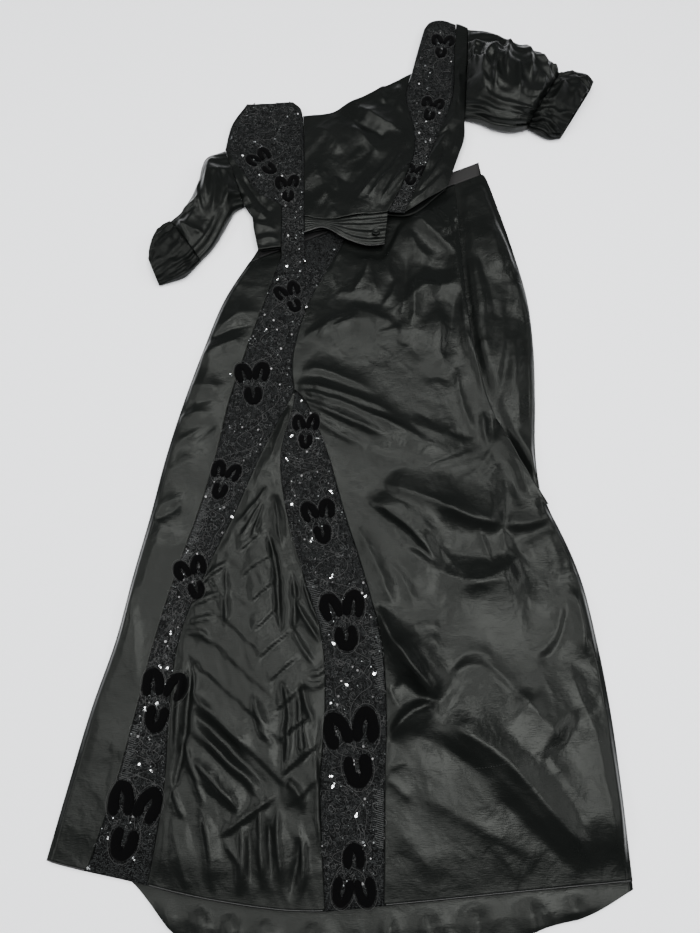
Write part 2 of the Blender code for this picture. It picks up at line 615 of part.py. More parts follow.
def build_side(finish):
    """The right side panel comes out from under the drape's free edge."""
    top_left = where(waist_y, "drape_right", WAISTBAND)
    top_right = where(waist_y, "outline_right", WAISTBAND)
    grid = []
    for row in range(SIDE_ROWS + 1):
        share = row / SIDE_ROWS
        y_left = top_left + (SIDE_END - top_left) * share
        y_right = top_right + (SIDE_END - top_right) * share
        hidden = Vector((seam_x["drape_right"](y_left) - OVERLAP, y_left))
        shown = Vector((hidden.x + OVERLAP + SIDE_SHOWN, y_left))
        edge = Vector((max(seam_x["outline_right"](y_right), shown.x + SIDE_LEAST), y_right))
        if y_right < DRAPE_MEETS_OUTLINE:
            edge.x = shown.x + SIDE_LEAST
        line = [hidden] + [shown.lerp(edge, c / 4) for c in range(5)]
        for point in line:
            point.y += (waist_y(point.x) - WAISTBAND - point.y) * (1.0 - share) ** 8
        grid.append(line)
    wall("skirt_side_right", grid, side_low, SATIN, finish)


def build_waistband(finish):
    xs = [WAIST_LEFT + (WAIST_RIGHT - WAIST_LEFT) * c / 10 for c in range(11)]
    rows = [[Vector((x, waist_y(x) - drop)) for x in xs] for drop in (0.0, WAISTBAND)]
    wall("skirt_waistband", rows, lambda x, y: BACK + GAP, SATIN, finish)


def back_edges(share):
    """Left and right edge of the back at a share of the way from waist to hem."""
    y_left = waist_y(WAIST_LEFT) + (hem_y(HEM_LEFT) - waist_y(WAIST_LEFT)) * share
    y_right = waist_y(WAIST_RIGHT) + (hem_y(HEM_RIGHT) - waist_y(WAIST_RIGHT)) * share
    right = seam_x["outline_right"](y_right)
    if y_right < DRAPE_MEETS_OUTLINE:
        right = max(right, seam_x["drape_right"](y_right))
    return Vector((seam_x["outline_left"](y_left), y_left)), Vector((right, y_right))


def build_back(finish):
    grid = []
    for row in range(BACK_ROWS + 1):
        level = row / BACK_ROWS
        left, right = back_edges(level)
        line = [left.lerp(right, c / BACK_COLUMNS) for c in range(BACK_COLUMNS + 1)]
        for c, point in enumerate(line):
            chord = hem_y(HEM_LEFT) + (hem_y(HEM_RIGHT) - hem_y(HEM_LEFT)) * c / BACK_COLUMNS
            point.y += (hem_y(point.x) - chord) * level ** 3
        grid.append(line)
    for row in range(1, TRAIN_ROWS + 1):
        level = row / TRAIN_ROWS
        line = []
        for point in grid[BACK_ROWS]:
            line.append(Vector((point.x, point.y - train_reach(point.x) * level)))
        grid.append(line)
    wall("skirt_back", grid, back_low, BACK, finish)


def build_bodice_back(finish):
    """One back panel, cut in three widths that follow the front seams above it."""
    rows = 8
    left = along(BACK_OUTER_LEFT, rows)
    mid_left = along(BACK_MID_LEFT, rows)
    mid_right = along(BACK_MID_RIGHT, rows)
    right = along(BACK_OUTER_RIGHT, rows)
    parts = [
        coons(left, mid_left, bottom=along(BACK_HEM_LEFT, 4), columns=4),
        coons(mid_left, mid_right, top=along(BACK_NECK, 6),
              bottom=along(BACK_HEM_MIDDLE, 6), columns=6),
        coons(mid_right, right, top=along(BACK_SHOULDER, 5),
              bottom=along(BACK_HEM_RIGHT, 5), columns=5),
    ]
    grid = [parts[0][r] + parts[1][r][1:] + parts[2][r][1:] for r in range(rows + 1)]
    wall("bodice_back", grid, bodice_back_low, BACK, finish)


def build_bodice(satin, net):
    yoke_outer = along(YOKE_OUTER, 3)
    yoke_lower = along(YOKE_LOWER, 5)
    strip_left = along(STRIP_LEFT, 4)
    strip_left_fine = along(STRIP_LEFT, 2 + SASH_ROWS)
    strip_left_tail = along(STRIP_LEFT_TAIL, 3)
    yoke_inner_top = along(YOKE_INNER_TOP, 2)
    yoke_inner = along(YOKE_INNER, 6)
    strip_right = along(STRIP_RIGHT, 2)
    strip_right_sash = along(STRIP_RIGHT_SASH, SASH_ROWS)
    strip_right_tail = along(STRIP_RIGHT_TAIL, 3)
    neckline = along(NECKLINE, 9)
    lace_left_top = along(LACE_LEFT_TOP, 3)
    lace_left = along(LACE_LEFT, 8)
    shoulder = along(SHOULDER, 4)
    sash_top = along(SASH_TOP, 9)
    sash_bottom = along(SASH_BOTTOM, 9)
    sash_end = along(SASH_END, SASH_ROWS)
    lace_right = along(LACE_RIGHT, 11)
    armhole_left = along(ARMHOLE_LEFT, 5)
    armhole_right = along(ARMHOLE_RIGHT, 6)
    side_left = along(SIDE_LEFT, 4)
    side_right = along(SIDE_RIGHT, 5)

    return [
        wall("bodice_lace_left",
             coons(yoke_outer[:-1] + yoke_lower, yoke_inner_top[:-1] + yoke_inner, columns=5),
             bodice_low, NET, net),
        wall("bodice_lace_strip",
             coons(strip_left_fine[:-1] + strip_left_tail,
                   strip_right[:-1] + strip_right_sash[:-1] + strip_right_tail, columns=3),
             strip_low, NET, net),
        wall("bodice_side_left",
             coons(armhole_left[:-1] + side_left, yoke_lower[:-1] + strip_left, columns=4),
             bodice_low, SATIN, satin),
        wall("bodice_plastron",
             coons(yoke_inner[:-1] + strip_right, lace_left, top=neckline, bottom=sash_top,
                   columns=9),
             bodice_low, SATIN, satin),
        wall("bodice_sash",
             coons(strip_right_sash, sash_end, top=sash_top, bottom=sash_bottom, columns=9),
             sash_low, SATIN, satin),
        wall("bodice_lace_right",
             coons(lace_left_top[:-1] + lace_left, lace_right, top=shoulder, columns=4),
             bodice_low, NET, net),
        wall("bodice_side_right",
             coons(lace_right, armhole_right[:-1] + side_right, columns=4),
             bodice_low, SATIN, satin),
    ]


def ring_section(angle):
    """A sleeve's section on the floor: across from -1 to 1, up from 0 to 1, flat below."""
    cosine = math.cos(angle)
    sine = math.sin(angle)
    side = math.copysign(1.0, cosine)
    if sine >= 0.0:
        up = SIDE_LEVEL + (1.0 - SIDE_LEVEL) * sine ** ROUND_TOP
        return side * abs(cosine) ** ROUND_SIDE, up
    up = SIDE_LEVEL * max(0.0, 1.0 - LEAVES_FLOOR * (-sine) ** ROUND_RISE_BELOW)
    return side * abs(cosine) ** ROUND_SIDE_BELOW, up


def shifted(section, distance):
    """A section line moved sideways, towards the cuff."""
    outer = Vector(section[0:2])
    inner = Vector(section[2:4])
    line = (outer - inner).normalized()
    towards = Vector((line.y, -line.x)) * distance
    return (*(outer + towards), *(inner + towards), section[4])


def between_sections(sections, steps):
    columns = [table_curve(range(len(sections)), [row[k] for row in sections]) for k in range(5)]
    count = (len(sections) - 1) * steps
    return [tuple(read(k / steps) for read in columns) for k in range(count + 1)]


def tube(name, sections, points, gathers, depth, finish, ends):
    """An open sleeve: rings round its outside, the same rings a wall further in.

    Its gathers are full in the middle; ends gives their share at either end.
    """
    sections = between_sections(sections, SLEEVE_RINGS_BETWEEN)
    last = len(sections) - 1
    outside = []
    inside = []
    for index, (x0, y0, x1, y1, height) in enumerate(sections):
        outer = Vector((x0, y0))
        inner = Vector((x1, y1))
        middle = (outer + inner) / 2
        across = (outer - inner) / 2
        half = across.length
        shrink = (half - SLEEVE_WALL) / half
        full = math.sin(math.pi * index / last)
        amount = full + (1.0 - full) * (ends[0] if index < last / 2 else ends[1])
        for k in range(points):
            angle = 2.0 * math.pi * k / points
            side, up = ring_section(angle)
            wave = depth * amount * math.sin(gathers * angle) * smoothstep(*GATHERS_FROM, up)
            reach = across * side * (1.0 + SLEEVE_SPREAD * wave / half)
            outside.append((*(middle + reach), height * up + wave))
            z = SLEEVE_WALL + (height - 2.0 * SLEEVE_WALL) * up + wave
            inside.append((*(middle + reach * shrink), z))
    count = len(outside)
    faces = []
    for r in range(last):
        for k in range(points):
            a = r * points + k
            b = r * points + (k + 1) % points
            c = a + points
            d = b + points
            faces += [(a, b, d), (a, d, c)]
            faces += [(count + a, count + d, count + b), (count + a, count + c, count + d)]
    for first in (0, last * points):
        for k in range(points):
            a = first + k
            b = first + (k + 1) % points
            faces += [(a, count + b, b), (a, count + a, count + b)]
    face_outward(add_object(name, outside + inside, faces, finish))


def face_outward(made):
    """Turns every face out of the cloth."""
    shape = bmesh.new()
    shape.from_mesh(made.data)
    bmesh.ops.recalc_face_normals(shape, faces=shape.faces)
    if shape.calc_volume(signed=True) < 0.0:
        bmesh.ops.reverse_faces(shape, faces=shape.faces)
    shape.to_mesh(made.data)
    shape.free()


def build_sleeves(satin):
    right_cuff = (shifted(SLEEVE_RIGHT[-1], GAP),) + CUFF_RIGHT
    right = (shifted(SLEEVE_RIGHT[0], GAP),) + SLEEVE_RIGHT[1:]
    tube("sleeve_right", right, RING_POINTS_RIGHT, PUFF_GATHERS, PUFF_GATHER_DEPTH, satin, (0.5, 0.3))
    tube("cuff_right", right_cuff, RING_POINTS_RIGHT, CUFF_GATHERS, CUFF_GATHER_DEPTH, satin, (0.3, 1.0))
    left_cuff = (shifted(SLEEVE_LEFT[-1], -GAP),) + CUFF_LEFT
    left = (shifted(SLEEVE_LEFT[0], -GAP),) + SLEEVE_LEFT[1:]
    tube("sleeve_left", left, RING_POINTS_LEFT, LEFT_GATHERS, LEFT_GATHER_DEPTH, satin, (0.4, 0.3))
    tube("cuff_left", left_cuff, RING_POINTS_LEFT, CUFF_GATHERS, CUFF_GATHER_DEPTH, satin, (0.3, 1.0))


def surface_reader(panels):
    """Height of the topmost panel at a point, with its seam gaps bridged."""
    vertices = []
    faces = []
    for panel in panels:
        offset = len(vertices)
        vertices += [v.co.copy() for v in panel.data.vertices]
        faces += [tuple(offset + i for i in f.vertices) for f in panel.data.polygons]
    tree = BVHTree.FromPolygons(vertices, faces)
    reach = 4.0 * SEAM_PULL

    def read(x, y):
        heights = []
        for dx, dy in ((0, 0), (reach, 0), (-reach, 0), (0, reach), (0, -reach)):
            hit = tree.ray_cast(Vector((x + dx, y + dy, 1.0)), Vector((0.0, 0.0, -1.0)))
            if hit[0] is not None:
                heights.append(hit[0].z)
        return max(heights)

    return read


def flower_outline(x, y, turn, radius):
    points = []
    for direction, half_width, reach in LOBES:
        for step in LOBE_STEPS:
            angle = math.radians(direction + half_width * step + turn)
            length = radius * (NOTCH + (reach - NOTCH) * math.sqrt(math.cos(step * math.pi / 2.0)))
            points.append((x + length * math.cos(angle), y + length * math.sin(angle)))
    return points


def flower(name, x, y, turn, radius, surface, finish):
    """A velvet flower laid on a panel: its underside follows the panel's face."""
    outline = flower_outline(x, y, turn, radius)
    crest = [(x + (px - x) * CREST, y + (py - y) * CREST) for px, py in outline]
    under = [surface(px, py) + FLOWER_SEAT for px, py in outline]
    middle = surface(x, y) + FLOWER_SEAT
    deficit = 0.0
    for k in range(FLOWER_POINTS):
        after = (k + 1) % FLOWER_POINTS
        for a, b in FACET_TESTS:
            px = x + a * (outline[k][0] - x) + b * (outline[after][0] - x)
            py = y + a * (outline[k][1] - y) + b * (outline[after][1] - y)
            facet = middle + a * (under[k] - middle) + b * (under[after] - middle)
            deficit = max(deficit, surface(px, py) + FLOWER_SEAT - facet)
    vertices = [(px, py, z + deficit) for (px, py), z in zip(outline, under)]
    vertices += [(px, py, z + deficit + FLOWER_EDGE) for (px, py), z in zip(outline, under)]
    vertices += [(px, py, middle + (z - middle) * CREST + deficit + FLOWER_RIM)
                 for (px, py), z in zip(crest, under)]
    vertices += [(x, y, middle + deficit), (x, y, middle + deficit + FLOWER_EDGE)]
    low_middle = 3 * FLOWER_POINTS
    high_middle = low_middle + 1
    faces = []
    for k in range(FLOWER_POINTS):
        after = (k + 1) % FLOWER_POINTS
        faces.append((low_middle, after, k))
        faces.append((k, after, FLOWER_POINTS + after))
        faces.append((k, FLOWER_POINTS + after, FLOWER_POINTS + k))
        faces.append((FLOWER_POINTS + k, FLOWER_POINTS + after, 2 * FLOWER_POINTS + after))
        faces.append((FLOWER_POINTS + k, 2 * FLOWER_POINTS + after, 2 * FLOWER_POINTS + k))
        faces.append((2 * FLOWER_POINTS + k, 2 * FLOWER_POINTS + after, high_middle))
    face_outward(add_object(name, vertices, faces, finish))


def build_button(surface, finish):
    x, y = BUTTON_AT
    samples = [surface(x + BUTTON_RADIUS * math.cos(a), y + BUTTON_RADIUS * math.sin(a))
               for a in (k * math.pi / 8 for k in range(16))]
    base = max(samples + [surface(x, y)]) + GAP
    shape = bmesh.new()
    bmesh.ops.create_cone(shape, cap_ends=True, segments=14, radius1=BUTTON_RADIUS,
                          radius2=BUTTON_RADIUS, depth=BUTTON_HEIGHT)
    top_edges = [e for e in shape.edges if all(v.co.z > 0.0 for v in e.verts)]
    bmesh.ops.bevel(shape, geom=top_edges, offset=BUTTON_ROUNDING, segments=1,
                    affect="EDGES", profile=0.5)
    mesh = bpy.data.meshes.new("bodice_button")
    shape.to_mesh(mesh)
    shape.free()
    mesh.materials.append(finish)
    mesh.shade_smooth()
    mesh.set_sharp_from_angle(angle=SHARP_ANGLE)
    made = bpy.data.objects.new("bodice_button", mesh)
    made.location = (x, y, base + BUTTON_HEIGHT / 2)
    bpy.context.scene.collection.objects.link(made)


def main():
    clear_scene()
    satin = material("black_satin", (0.030, 0.032, 0.031), 0.32)
    net = material("beaded_net", (0.018, 0.018, 0.018), 0.75)
    band = material("waistband_lining", (0.36, 0.40, 0.46), 0.70)
    velvet = material("black_velvet", (0.006, 0.006, 0.006), 0.95, sheen=0.3)
    skirt = build_skirt(satin, net, band)
    build_bodice_back(satin)
    bodice = build_bodice(satin, net)
    build_sleeves(satin)
    on_skirt = surface_reader(skirt)
    on_bodice = surface_reader(bodice)
    for name, x, y, turn, radius in FLOWERS:
        surface = on_skirt if "band" in name else on_bodice
        flower(name, x, y, turn, radius, surface, velvet)
    build_button(on_bodice, satin)


main()
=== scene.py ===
"""Looks of the mourning dress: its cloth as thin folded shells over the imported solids.

The tables of folds and the drape's seam stitches are in centimetres as seen from above, x to
the right and y towards the shoulders. Everything else is in metres.
"""

import math

import bpy
import numpy as np
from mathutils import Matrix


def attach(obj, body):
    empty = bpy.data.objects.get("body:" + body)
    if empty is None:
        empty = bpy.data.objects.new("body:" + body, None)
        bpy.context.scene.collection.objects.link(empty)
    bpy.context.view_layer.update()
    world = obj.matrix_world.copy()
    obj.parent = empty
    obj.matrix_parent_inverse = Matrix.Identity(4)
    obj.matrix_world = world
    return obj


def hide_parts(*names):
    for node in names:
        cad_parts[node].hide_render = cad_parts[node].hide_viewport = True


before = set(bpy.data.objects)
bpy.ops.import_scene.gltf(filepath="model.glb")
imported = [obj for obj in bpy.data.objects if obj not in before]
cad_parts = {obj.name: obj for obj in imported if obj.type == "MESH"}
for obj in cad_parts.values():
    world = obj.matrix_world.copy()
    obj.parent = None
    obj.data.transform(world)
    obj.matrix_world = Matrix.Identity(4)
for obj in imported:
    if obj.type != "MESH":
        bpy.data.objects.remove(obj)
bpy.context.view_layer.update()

CM = 0.01

# The camera: its height over the floor, its tilt and its focal length in pixels.
PICTURE = (700, 933)
CAMERA_AT = (0.0, -0.5, 1.0)
CAMERA_TILT = math.radians(19)
FOCAL_PIXELS = 705.0
SENSOR = 36.0

# Layers, as in the solids
SATIN = 0.0016
NET = 0.0013
BACK = 0.0015
GAP = 0.0003
SEAM_PULL = 0.00015
SHELL = 0.0009            # the cloth itself
ON_FLOOR = 0.0001

# Skirt
WAIST_MIDDLE = 0.306
WAIST_SLOPE = 0.45
WAISTBAND = 0.028
WAIST_LEFT = -0.152
WAIST_RIGHT = 0.226
HEM_LEFT = -0.378
HEM_RIGHT = 0.350
DRAPE_MEETS_OUTLINE = -0.20
STAR = (-0.0875, -0.036)
STAR_SHARE = 0.3          # share of the rows above the star point
STAR_INSET = 0.0022
STAR_BAND = 0.0034
STAR_LEAVES = 5.0         # rows in which the right band's seams leave the star point
STAR_MEETS = 6.0          # rows in which the left band's edge comes to it
SKIRT_ROWS = 270
DRAPE_LIFT = 0.0023
OVERLAP = 0.012
SIDE_END = -0.215

FRONT_HEM = dict(
    x=(-0.420, -0.379, -0.274, -0.162, -0.050, 0.040, 0.190, 0.355),
    y=(-0.668, -0.680, -0.702, -0.724, -0.735, -0.729, -0.716, -0.702),
)
TRAIN = dict(
    x=(-0.420, -0.268, -0.250, -0.224, -0.190, -0.120, 0.000,
       0.080, 0.160, 0.220, 0.300, 0.345, 0.360),
    reach=(0.003, 0.003, 0.016, 0.036, 0.058, 0.085, 0.100,
           0.090, 0.064, 0.044, 0.030, 0.012, 0.006),
)
SKIRT_SEAMS = dict(
    y=(0.40, 0.31, 0.22, 0.13, 0.04, -0.05, -0.14, -0.23, -0.32, -0.41, -0.50, -0.59, -0.68, -0.77),
    outline_left=(-0.080, -0.115, -0.158, -0.204, -0.232, -0.256, -0.276, -0.291,
                  -0.308, -0.323, -0.346, -0.364, -0.381, -0.397),
    band_a_left=(-0.060, -0.085, -0.112, -0.136, -0.162, -0.185, -0.201, -0.221,
                 -0.246, -0.268, -0.284, -0.301, -0.325, -0.350),
    band_a_right=(0.035, 0.015, -0.020, -0.064, -0.088, -0.096, -0.134, -0.168,
                  -0.206, -0.236, -0.241, -0.240, -0.248, -0.262),
    band_b_left=(-0.100, -0.100, -0.100, -0.100, -0.096, -0.087, -0.104, -0.092,
                 -0.066, -0.038, -0.033, -0.038, -0.034, -0.028),
    band_b_right=(-0.140, -0.130, -0.120, -0.108, -0.094, -0.066, -0.033, -0.008,
                  0.020, 0.042, 0.048, 0.045, 0.043, 0.040),
    drape_right=(0.180, 0.182, 0.184, 0.187, 0.194, 0.212, 0.247, 0.294,
                 0.326, 0.340, 0.348, 0.351, 0.3515, 0.3515),
    outline_right=(0.226, 0.246, 0.270, 0.288, 0.291, 0.286, 0.279, 0.284,
                   0.296, 0.310, 0.318, 0.321, 0.321, 0.321),
)

# Ridges of the skirt front. Each runs through its middle point. A fold that leans is
# gentle on the left of its run and steep on the right of it.
SKIRT_RIDGES = (
    # x0, y0, x1, y1, x2, y2, height, half width, lean
    (10.0, 29.5, 13.2, 25.8, 18.0, 20.6, 1.2, 1.0, 0.3),
    (9.6, 27.0, 11.2, 22.6, 13.8, 20.2, 0.55, 0.75, 0.0),
    (12.8, 30.8, 13.9, 28.5, 15.2, 26.8, 0.45, 0.45, 0.2),
    (14.6, 31.2, 15.6, 28.4, 17.6, 26.2, 0.5, 0.45, -0.2),
    (16.0, 27.6, 17.0, 24.4, 17.9, 21.6, 0.4, 0.4, 0.2),
    (17.4, 31.0, 17.9, 28.8, 17.6, 27.0, 0.5, 0.45, 0.0),
    (3.8, 23.6, 2.4, 17.6, -0.4, 13.2, 0.3, 0.45, 0.2),
    (6.9, 23.0, 6.3, 19.0, 7.6, 15.0, 0.35, 0.6, -0.2),
    (7.4, 17.4, 7.1, 14.2, 4.2, 10.8, 0.4, 0.5, 0.2),
    (-0.6, 23.5, -2.8, 18.4, -1.4, 13.8, 0.22, 0.4, 0.0),
    (-2.6, 14.6, -0.4, 13.9, 2.6, 14.6, 0.2, 0.45, 0.0),
    (-7.4, 5.8, -4.6, 7.5, -1.6, 10.2, 0.55, 0.48, -0.2),
    (-5.4, 5.0, -3.4, 8.0, 1.0, 10.4, 0.45, 0.42, -0.2),
    (-3.6, 7.1, -0.4, 8.4, 2.6, 10.6, 0.45, 0.42, -0.2),
    (-1.0, 10.2, 3.4, 9.9, 7.6, 7.4, 0.75, 1.2, -0.35),
    (9.9, 16.8, 13.5, 15.2, 18.2, 16.3, 0.85, 1.5, -0.4),
    (10.2, 17.2, 10.4, 12.0, 9.2, 6.8, 0.7, 0.95, 0.35),
    (8.4, 7.6, 6.2, 6.7, 3.6, 6.5, 0.45, 0.65, -0.2),
    (12.8, 13.6, 13.9, 9.0, 13.2, 3.0, 0.55, 2.2, 0.0),
    (17.9, 14.8, 18.2, 8.0, 19.0, 0.0, 0.5, 0.5, 0.2),
    (17.7, 7.8, 19.3, 2.6, 20.8, -6.2, 0.5, 0.42, 0.2),
    (19.4, 2.0, 20.6, 4.4, 22.2, 5.2, 0.35, 0.4, 0.0),
    (16.6, 1.6, 17.0, -4.4, 18.8, -11.0, 0.45, 0.7, 0.3),
    (-8.2, -0.4, -2.4, -0.8, 4.6, -4.4, 0.65, 0.7, 0.3),
    (-9.0, -2.2, -1.6, -4.2, 8.4, -8.2, 0.95, 0.6, 0.35),
    (-8.9, -3.2, 0.4, -6.7, 12.6, -12.2, 0.95, 0.6, 0.35),
    (-8.2, -4.4, -1.4, -8.3, 6.2, -11.3, 0.85, 0.6, 0.35),
    (-6.6, -6.0, -3.2, -10.0, 3.6, -12.8, 0.75, 0.8, 0.3),
    (8.6, -8.2, 12.6, -10.4, 17.6, -11.8, 0.4, 0.8, 0.2),
    (2.4, -13.2, 6.6, -14.9, 12.0, -16.0, 0.45, 0.9, 0.2),
    (9.6, -16.8, 14.8, -15.0, 20.8, -12.2, 0.45, 0.48, -0.2),
    (12.4, -17.2, 17.0, -15.4, 21.2, -14.0, 0.38, 0.42, -0.2),
    (15.6, -18.4, 19.2, -16.0, 21.9, -11.6, 0.42, 0.42, -0.2),
    (18.6, -18.6, 20.8, -17.0, 22.6, -14.6, 0.36, 0.38, 0.0),
    (20.4, -6.6, 20.2, -9.6, 20.8, -13.2, 0.6, 0.45, 0.0),
    (22.6, -7.6, 22.9, -10.2, 23.9, -13.6, 0.55, 0.5, 0.0),
    (22.6, -10.2, 24.8, -13.6, 27.2, -18.6, 0.75, 0.6, 0.2),
    (23.6, -13.0, 25.4, -17.2, 26.2, -21.2, 0.4, 0.6, 0.0),
    (4.2, -18.4, 9.8, -20.4, 16.6, -23.2, 1.3, 1.6, 0.45),
    (11.0, -20.8, 17.4, -23.7, 23.4, -24.8, 1.9, 1.6, 0.5),
    (21.4, -24.9, 25.6, -24.6, 30.0, -22.8, 1.2, 1.2, 0.5),
    (1.6, -20.6, 7.6, -24.6, 13.2, -31.4, 1.3, 1.1, 0.5),
    (4.0, -19.4, 9.4, -23.6, 14.6, -28.4, 0.45, 0.7, 0.2),
    (18.2, -24.6, 19.4, -27.8, 20.2, -31.2, 0.45, 0.4, 0.0),
    (12.2, -25.8, 13.6, -28.8, 15.4, -32.4, 0.3, 0.45, 0.0),
    (21.6, -25.6, 22.4, -27.0, 22.0, -30.4, 0.3, 0.5, 0.0),
    (7.4, -27.6, 11.6, -31.0, 16.4, -33.4, 0.65, 1.4, -0.1),
    (14.6, -33.4, 19.8, -32.6, 24.8, -28.2, 0.75, 1.3, 0.3),
    (24.2, -28.8, 27.0, -27.4, 30.4, -25.6, 0.55, 1.2, 0.0),
    (4.6, -29.4, 7.6, -33.0, 9.2, -37.6, 0.35, 0.8, 0.0),
    (0.6, -23.8, 3.6, -30.6, 6.2, -37.2, 0.65, 0.95, 0.0),
    (3.4, -35.6, 6.8, -42.4, 12.0, -49.4, 1.8, 0.8, 0.1),
    (7.6, -40.6, 9.8, -44.4, 12.4, -48.2, 0.45, 0.5, 0.0),
    (12.0, -49.2, 7.8, -50.2, 4.8, -54.6, 1.3, 0.5, 0.2),
    (5.4, -52.6, 4.4, -56.2, 4.6, -60.6, 0.45, 0.5, 0.0),
    (5.2, -46.4, 5.6, -48.4, 6.6, -49.8, 0.3, 0.35, 0.0),
    (8.6, -40.2, 10.6, -38.8, 13.0, -39.8, 0.25, 0.5, -0.2),
    (8.6, -43.4, 10.2, -41.2, 12.6, -40.6, 0.25, 0.45, 0.0),
    (13.0, -45.8, 16.4, -42.6, 20.4, -44.4, 0.4, 0.9, -0.3),
    (16.6, -43.0, 21.6, -46.8, 27.6, -53.8, 0.45, 0.7, 0.25),
    (14.8, -47.2, 12.8, -49.8, 11.4, -52.6, 0.4, 0.6, -0.2),
    (24.6, -42.6, 28.2, -40.6, 29.2, -34.6, 0.45, 0.8, -0.3),
    (28.4, -32.4, 30.2, -32.0, 32.4, -31.6, 0.4, 0.6, 0.0),
    (30.4, -33.8, 31.8, -37.6, 31.4, -44.2, 0.4, 0.6, 0.0),
    (29.8, -44.2, 30.8, -49.0, 33.0, -55.0, 0.3, 0.9, 0.0),
    (11.2, -51.6, 18.4, -55.0, 24.6, -61.0, 1.6, 2.1, 0.5),
    (18.8, -55.2, 25.2, -61.8, 31.6, -69.4, 1.5, 2.2, 0.5),
    (22.0, -53.8, 27.4, -58.0, 32.4, -68.4, 0.85, 2.0, 0.4),
    (17.6, -51.8, 20.4, -54.8, 25.2, -54.6, 0.3, 0.7, 0.0),
    (8.4, -60.4, 14.6, -63.0, 24.6, -68.8, 0.38, 1.3, 0.3),
    (5.4, -63.6, 8.2, -66.8, 11.4, -70.6, 0.32, 1.1, 0.2),
    (4.6, -57.2, 6.2, -56.6, 7.8, -56.4, 0.22, 0.35, 0.0),
    (4.4, -58.4, 6.2, -59.4, 8.2, -61.6, 0.25, 0.4, 0.0),
    (17.6, -65.4, 19.8, -68.2, 21.0, -71.2, 0.28, 0.8, 0.0),
    (31.8, -55.6, 33.0, -61.4, 33.2, -68.6, 0.35, 0.8, 0.0),
    (24.6, 29.0, 24.0, 22.4, 24.8, 14.8, 0.45, 1.2, 0.0),
    (20.6, 21.8, 21.2, 15.4, 22.2, 8.6, 0.5, 1.0, 0.2),
    (25.4, 9.8, 23.6, 3.0, 22.6, -5.2, 0.45, 0.8, 0.0),
    (26.6, 9.4, 25.8, 2.4, 24.6, -6.4, 0.35, 0.8, 0.0),
    (26.8, 17.8, 26.9, 13.2, 25.8, 9.4, 0.3, 0.6, 0.0),
    (-24.4, 1.4, -20.6, 3.8, -15.6, 6.2, 0.5, 0.95, 0.0),
    (-22.0, 5.0, -18.6, 9.2, -14.0, 10.6, 0.55, 1.1, 0.0),
    (-25.6, -2.4, -22.6, -3.0, -19.2, -2.6, 0.5, 0.8, 0.35),
    (-26.6, -8.6, -24.4, -7.6, -20.6, -7.2, 0.45, 0.55, -0.2),
    (-26.4, -12.4, -24.0, -10.9, -21.4, -9.6, 0.35, 0.5, 0.0),
    (-27.8, -17.6, -25.4, -15.6, -22.8, -14.6, 0.3, 0.9, 0.0),
    (-28.8, -22.4, -26.6, -21.4, -24.2, -20.2, 0.35, 0.6, 0.3),
    (-31.2, -32.6, -29.6, -40.0, -28.4, -48.8, 0.38, 1.0, -0.3),
    (-33.6, -44.0, -33.2, -52.0, -34.6, -60.0, 0.25, 1.5, 0.0),
)
SKIRT_TROUGHS = (
    (9.3, 24.0, 9.0, 14.6, 7.6, 7.6, 0.6, 0.9, 0.0),
    (12.0, 20.0, 14.6, 18.6, 18.2, 18.4, 0.4, 1.0, 0.0),
    (17.4, 15.0, 16.2, 8.6, 14.6, 0.6, 0.6, 0.85, 0.3),
    (7.2, 5.4, 9.4, 4.4, 11.4, 1.4, 0.25, 0.7, 0.0),
    (11.2, -2.2, 13.4, -0.8, 16.6, -2.6, 0.25, 0.6, 0.0),
    (9.4, -6.8, 11.2, -7.6, 13.0, -9.0, 0.15, 0.3, 0.0),
    (14.8, -10.4, 16.8, -10.6, 19.2, -10.9, 0.45, 0.6, 0.0),
    (21.4, -6.6, 21.5, -9.2, 21.3, -12.6, 0.6, 0.6, 0.0),
    (22.2, -13.4, 24.4, -17.6, 24.4, -22.6, 0.4, 0.75, 0.0),
    (3.0, -22.4, 8.0, -25.6, 13.6, -32.0, 0.5, 0.8, 0.0),
    (9.4, -25.2, 17.0, -29.2, 23.6, -28.4, 0.8, 1.6, 0.0),
    (22.4, -28.4, 26.0, -26.4, 29.6, -24.0, 0.4, 0.8, 0.0),
    (6.4, -45.6, 8.2, -47.4, 10.2, -49.0, 0.8, 1.0, 0.0),
    (13.2, -46.4, 16.0, -44.4, 19.4, -45.4, 0.3, 0.5, 0.0),
    (24.6, -43.8, 28.4, -41.6, 30.2, -34.4, 0.45, 0.55, 0.0),
    (5.4, -52.2, 12.2, -54.8, 18.6, -59.8, 0.6, 1.2, 0.0),
    (18.0, -59.4, 23.0, -64.4, 28.0, -69.4, 0.5, 1.2, 0.0),
    (21.3, 23.0, 22.6, 15.4, 23.4, 7.6, 0.4, 0.45, 0.0),
    (26.2, 17.0, 25.8, 12.2, 24.8, 8.8, 0.25, 0.45, 0.0),
    (22.0, -8.2, 23.6, -1.4, 25.8, 7.6, 0.3, 0.4, 0.0),
    (-24.2, 2.4, -20.4, 6.4, -14.6, 8.3, 0.4, 0.6, 0.0),
    (-26.8, -9.2, -24.2, -5.9, -19.8, -4.6, 0.45, 0.75, 0.0),
    (-23.4, -12.0, -21.8, -10.2, -20.3, -8.8, 0.3, 0.3, 0.0),
    (-28.4, -24.0, -26.4, -22.9, -24.6, -21.2, 0.3, 0.5, 0.0),
)

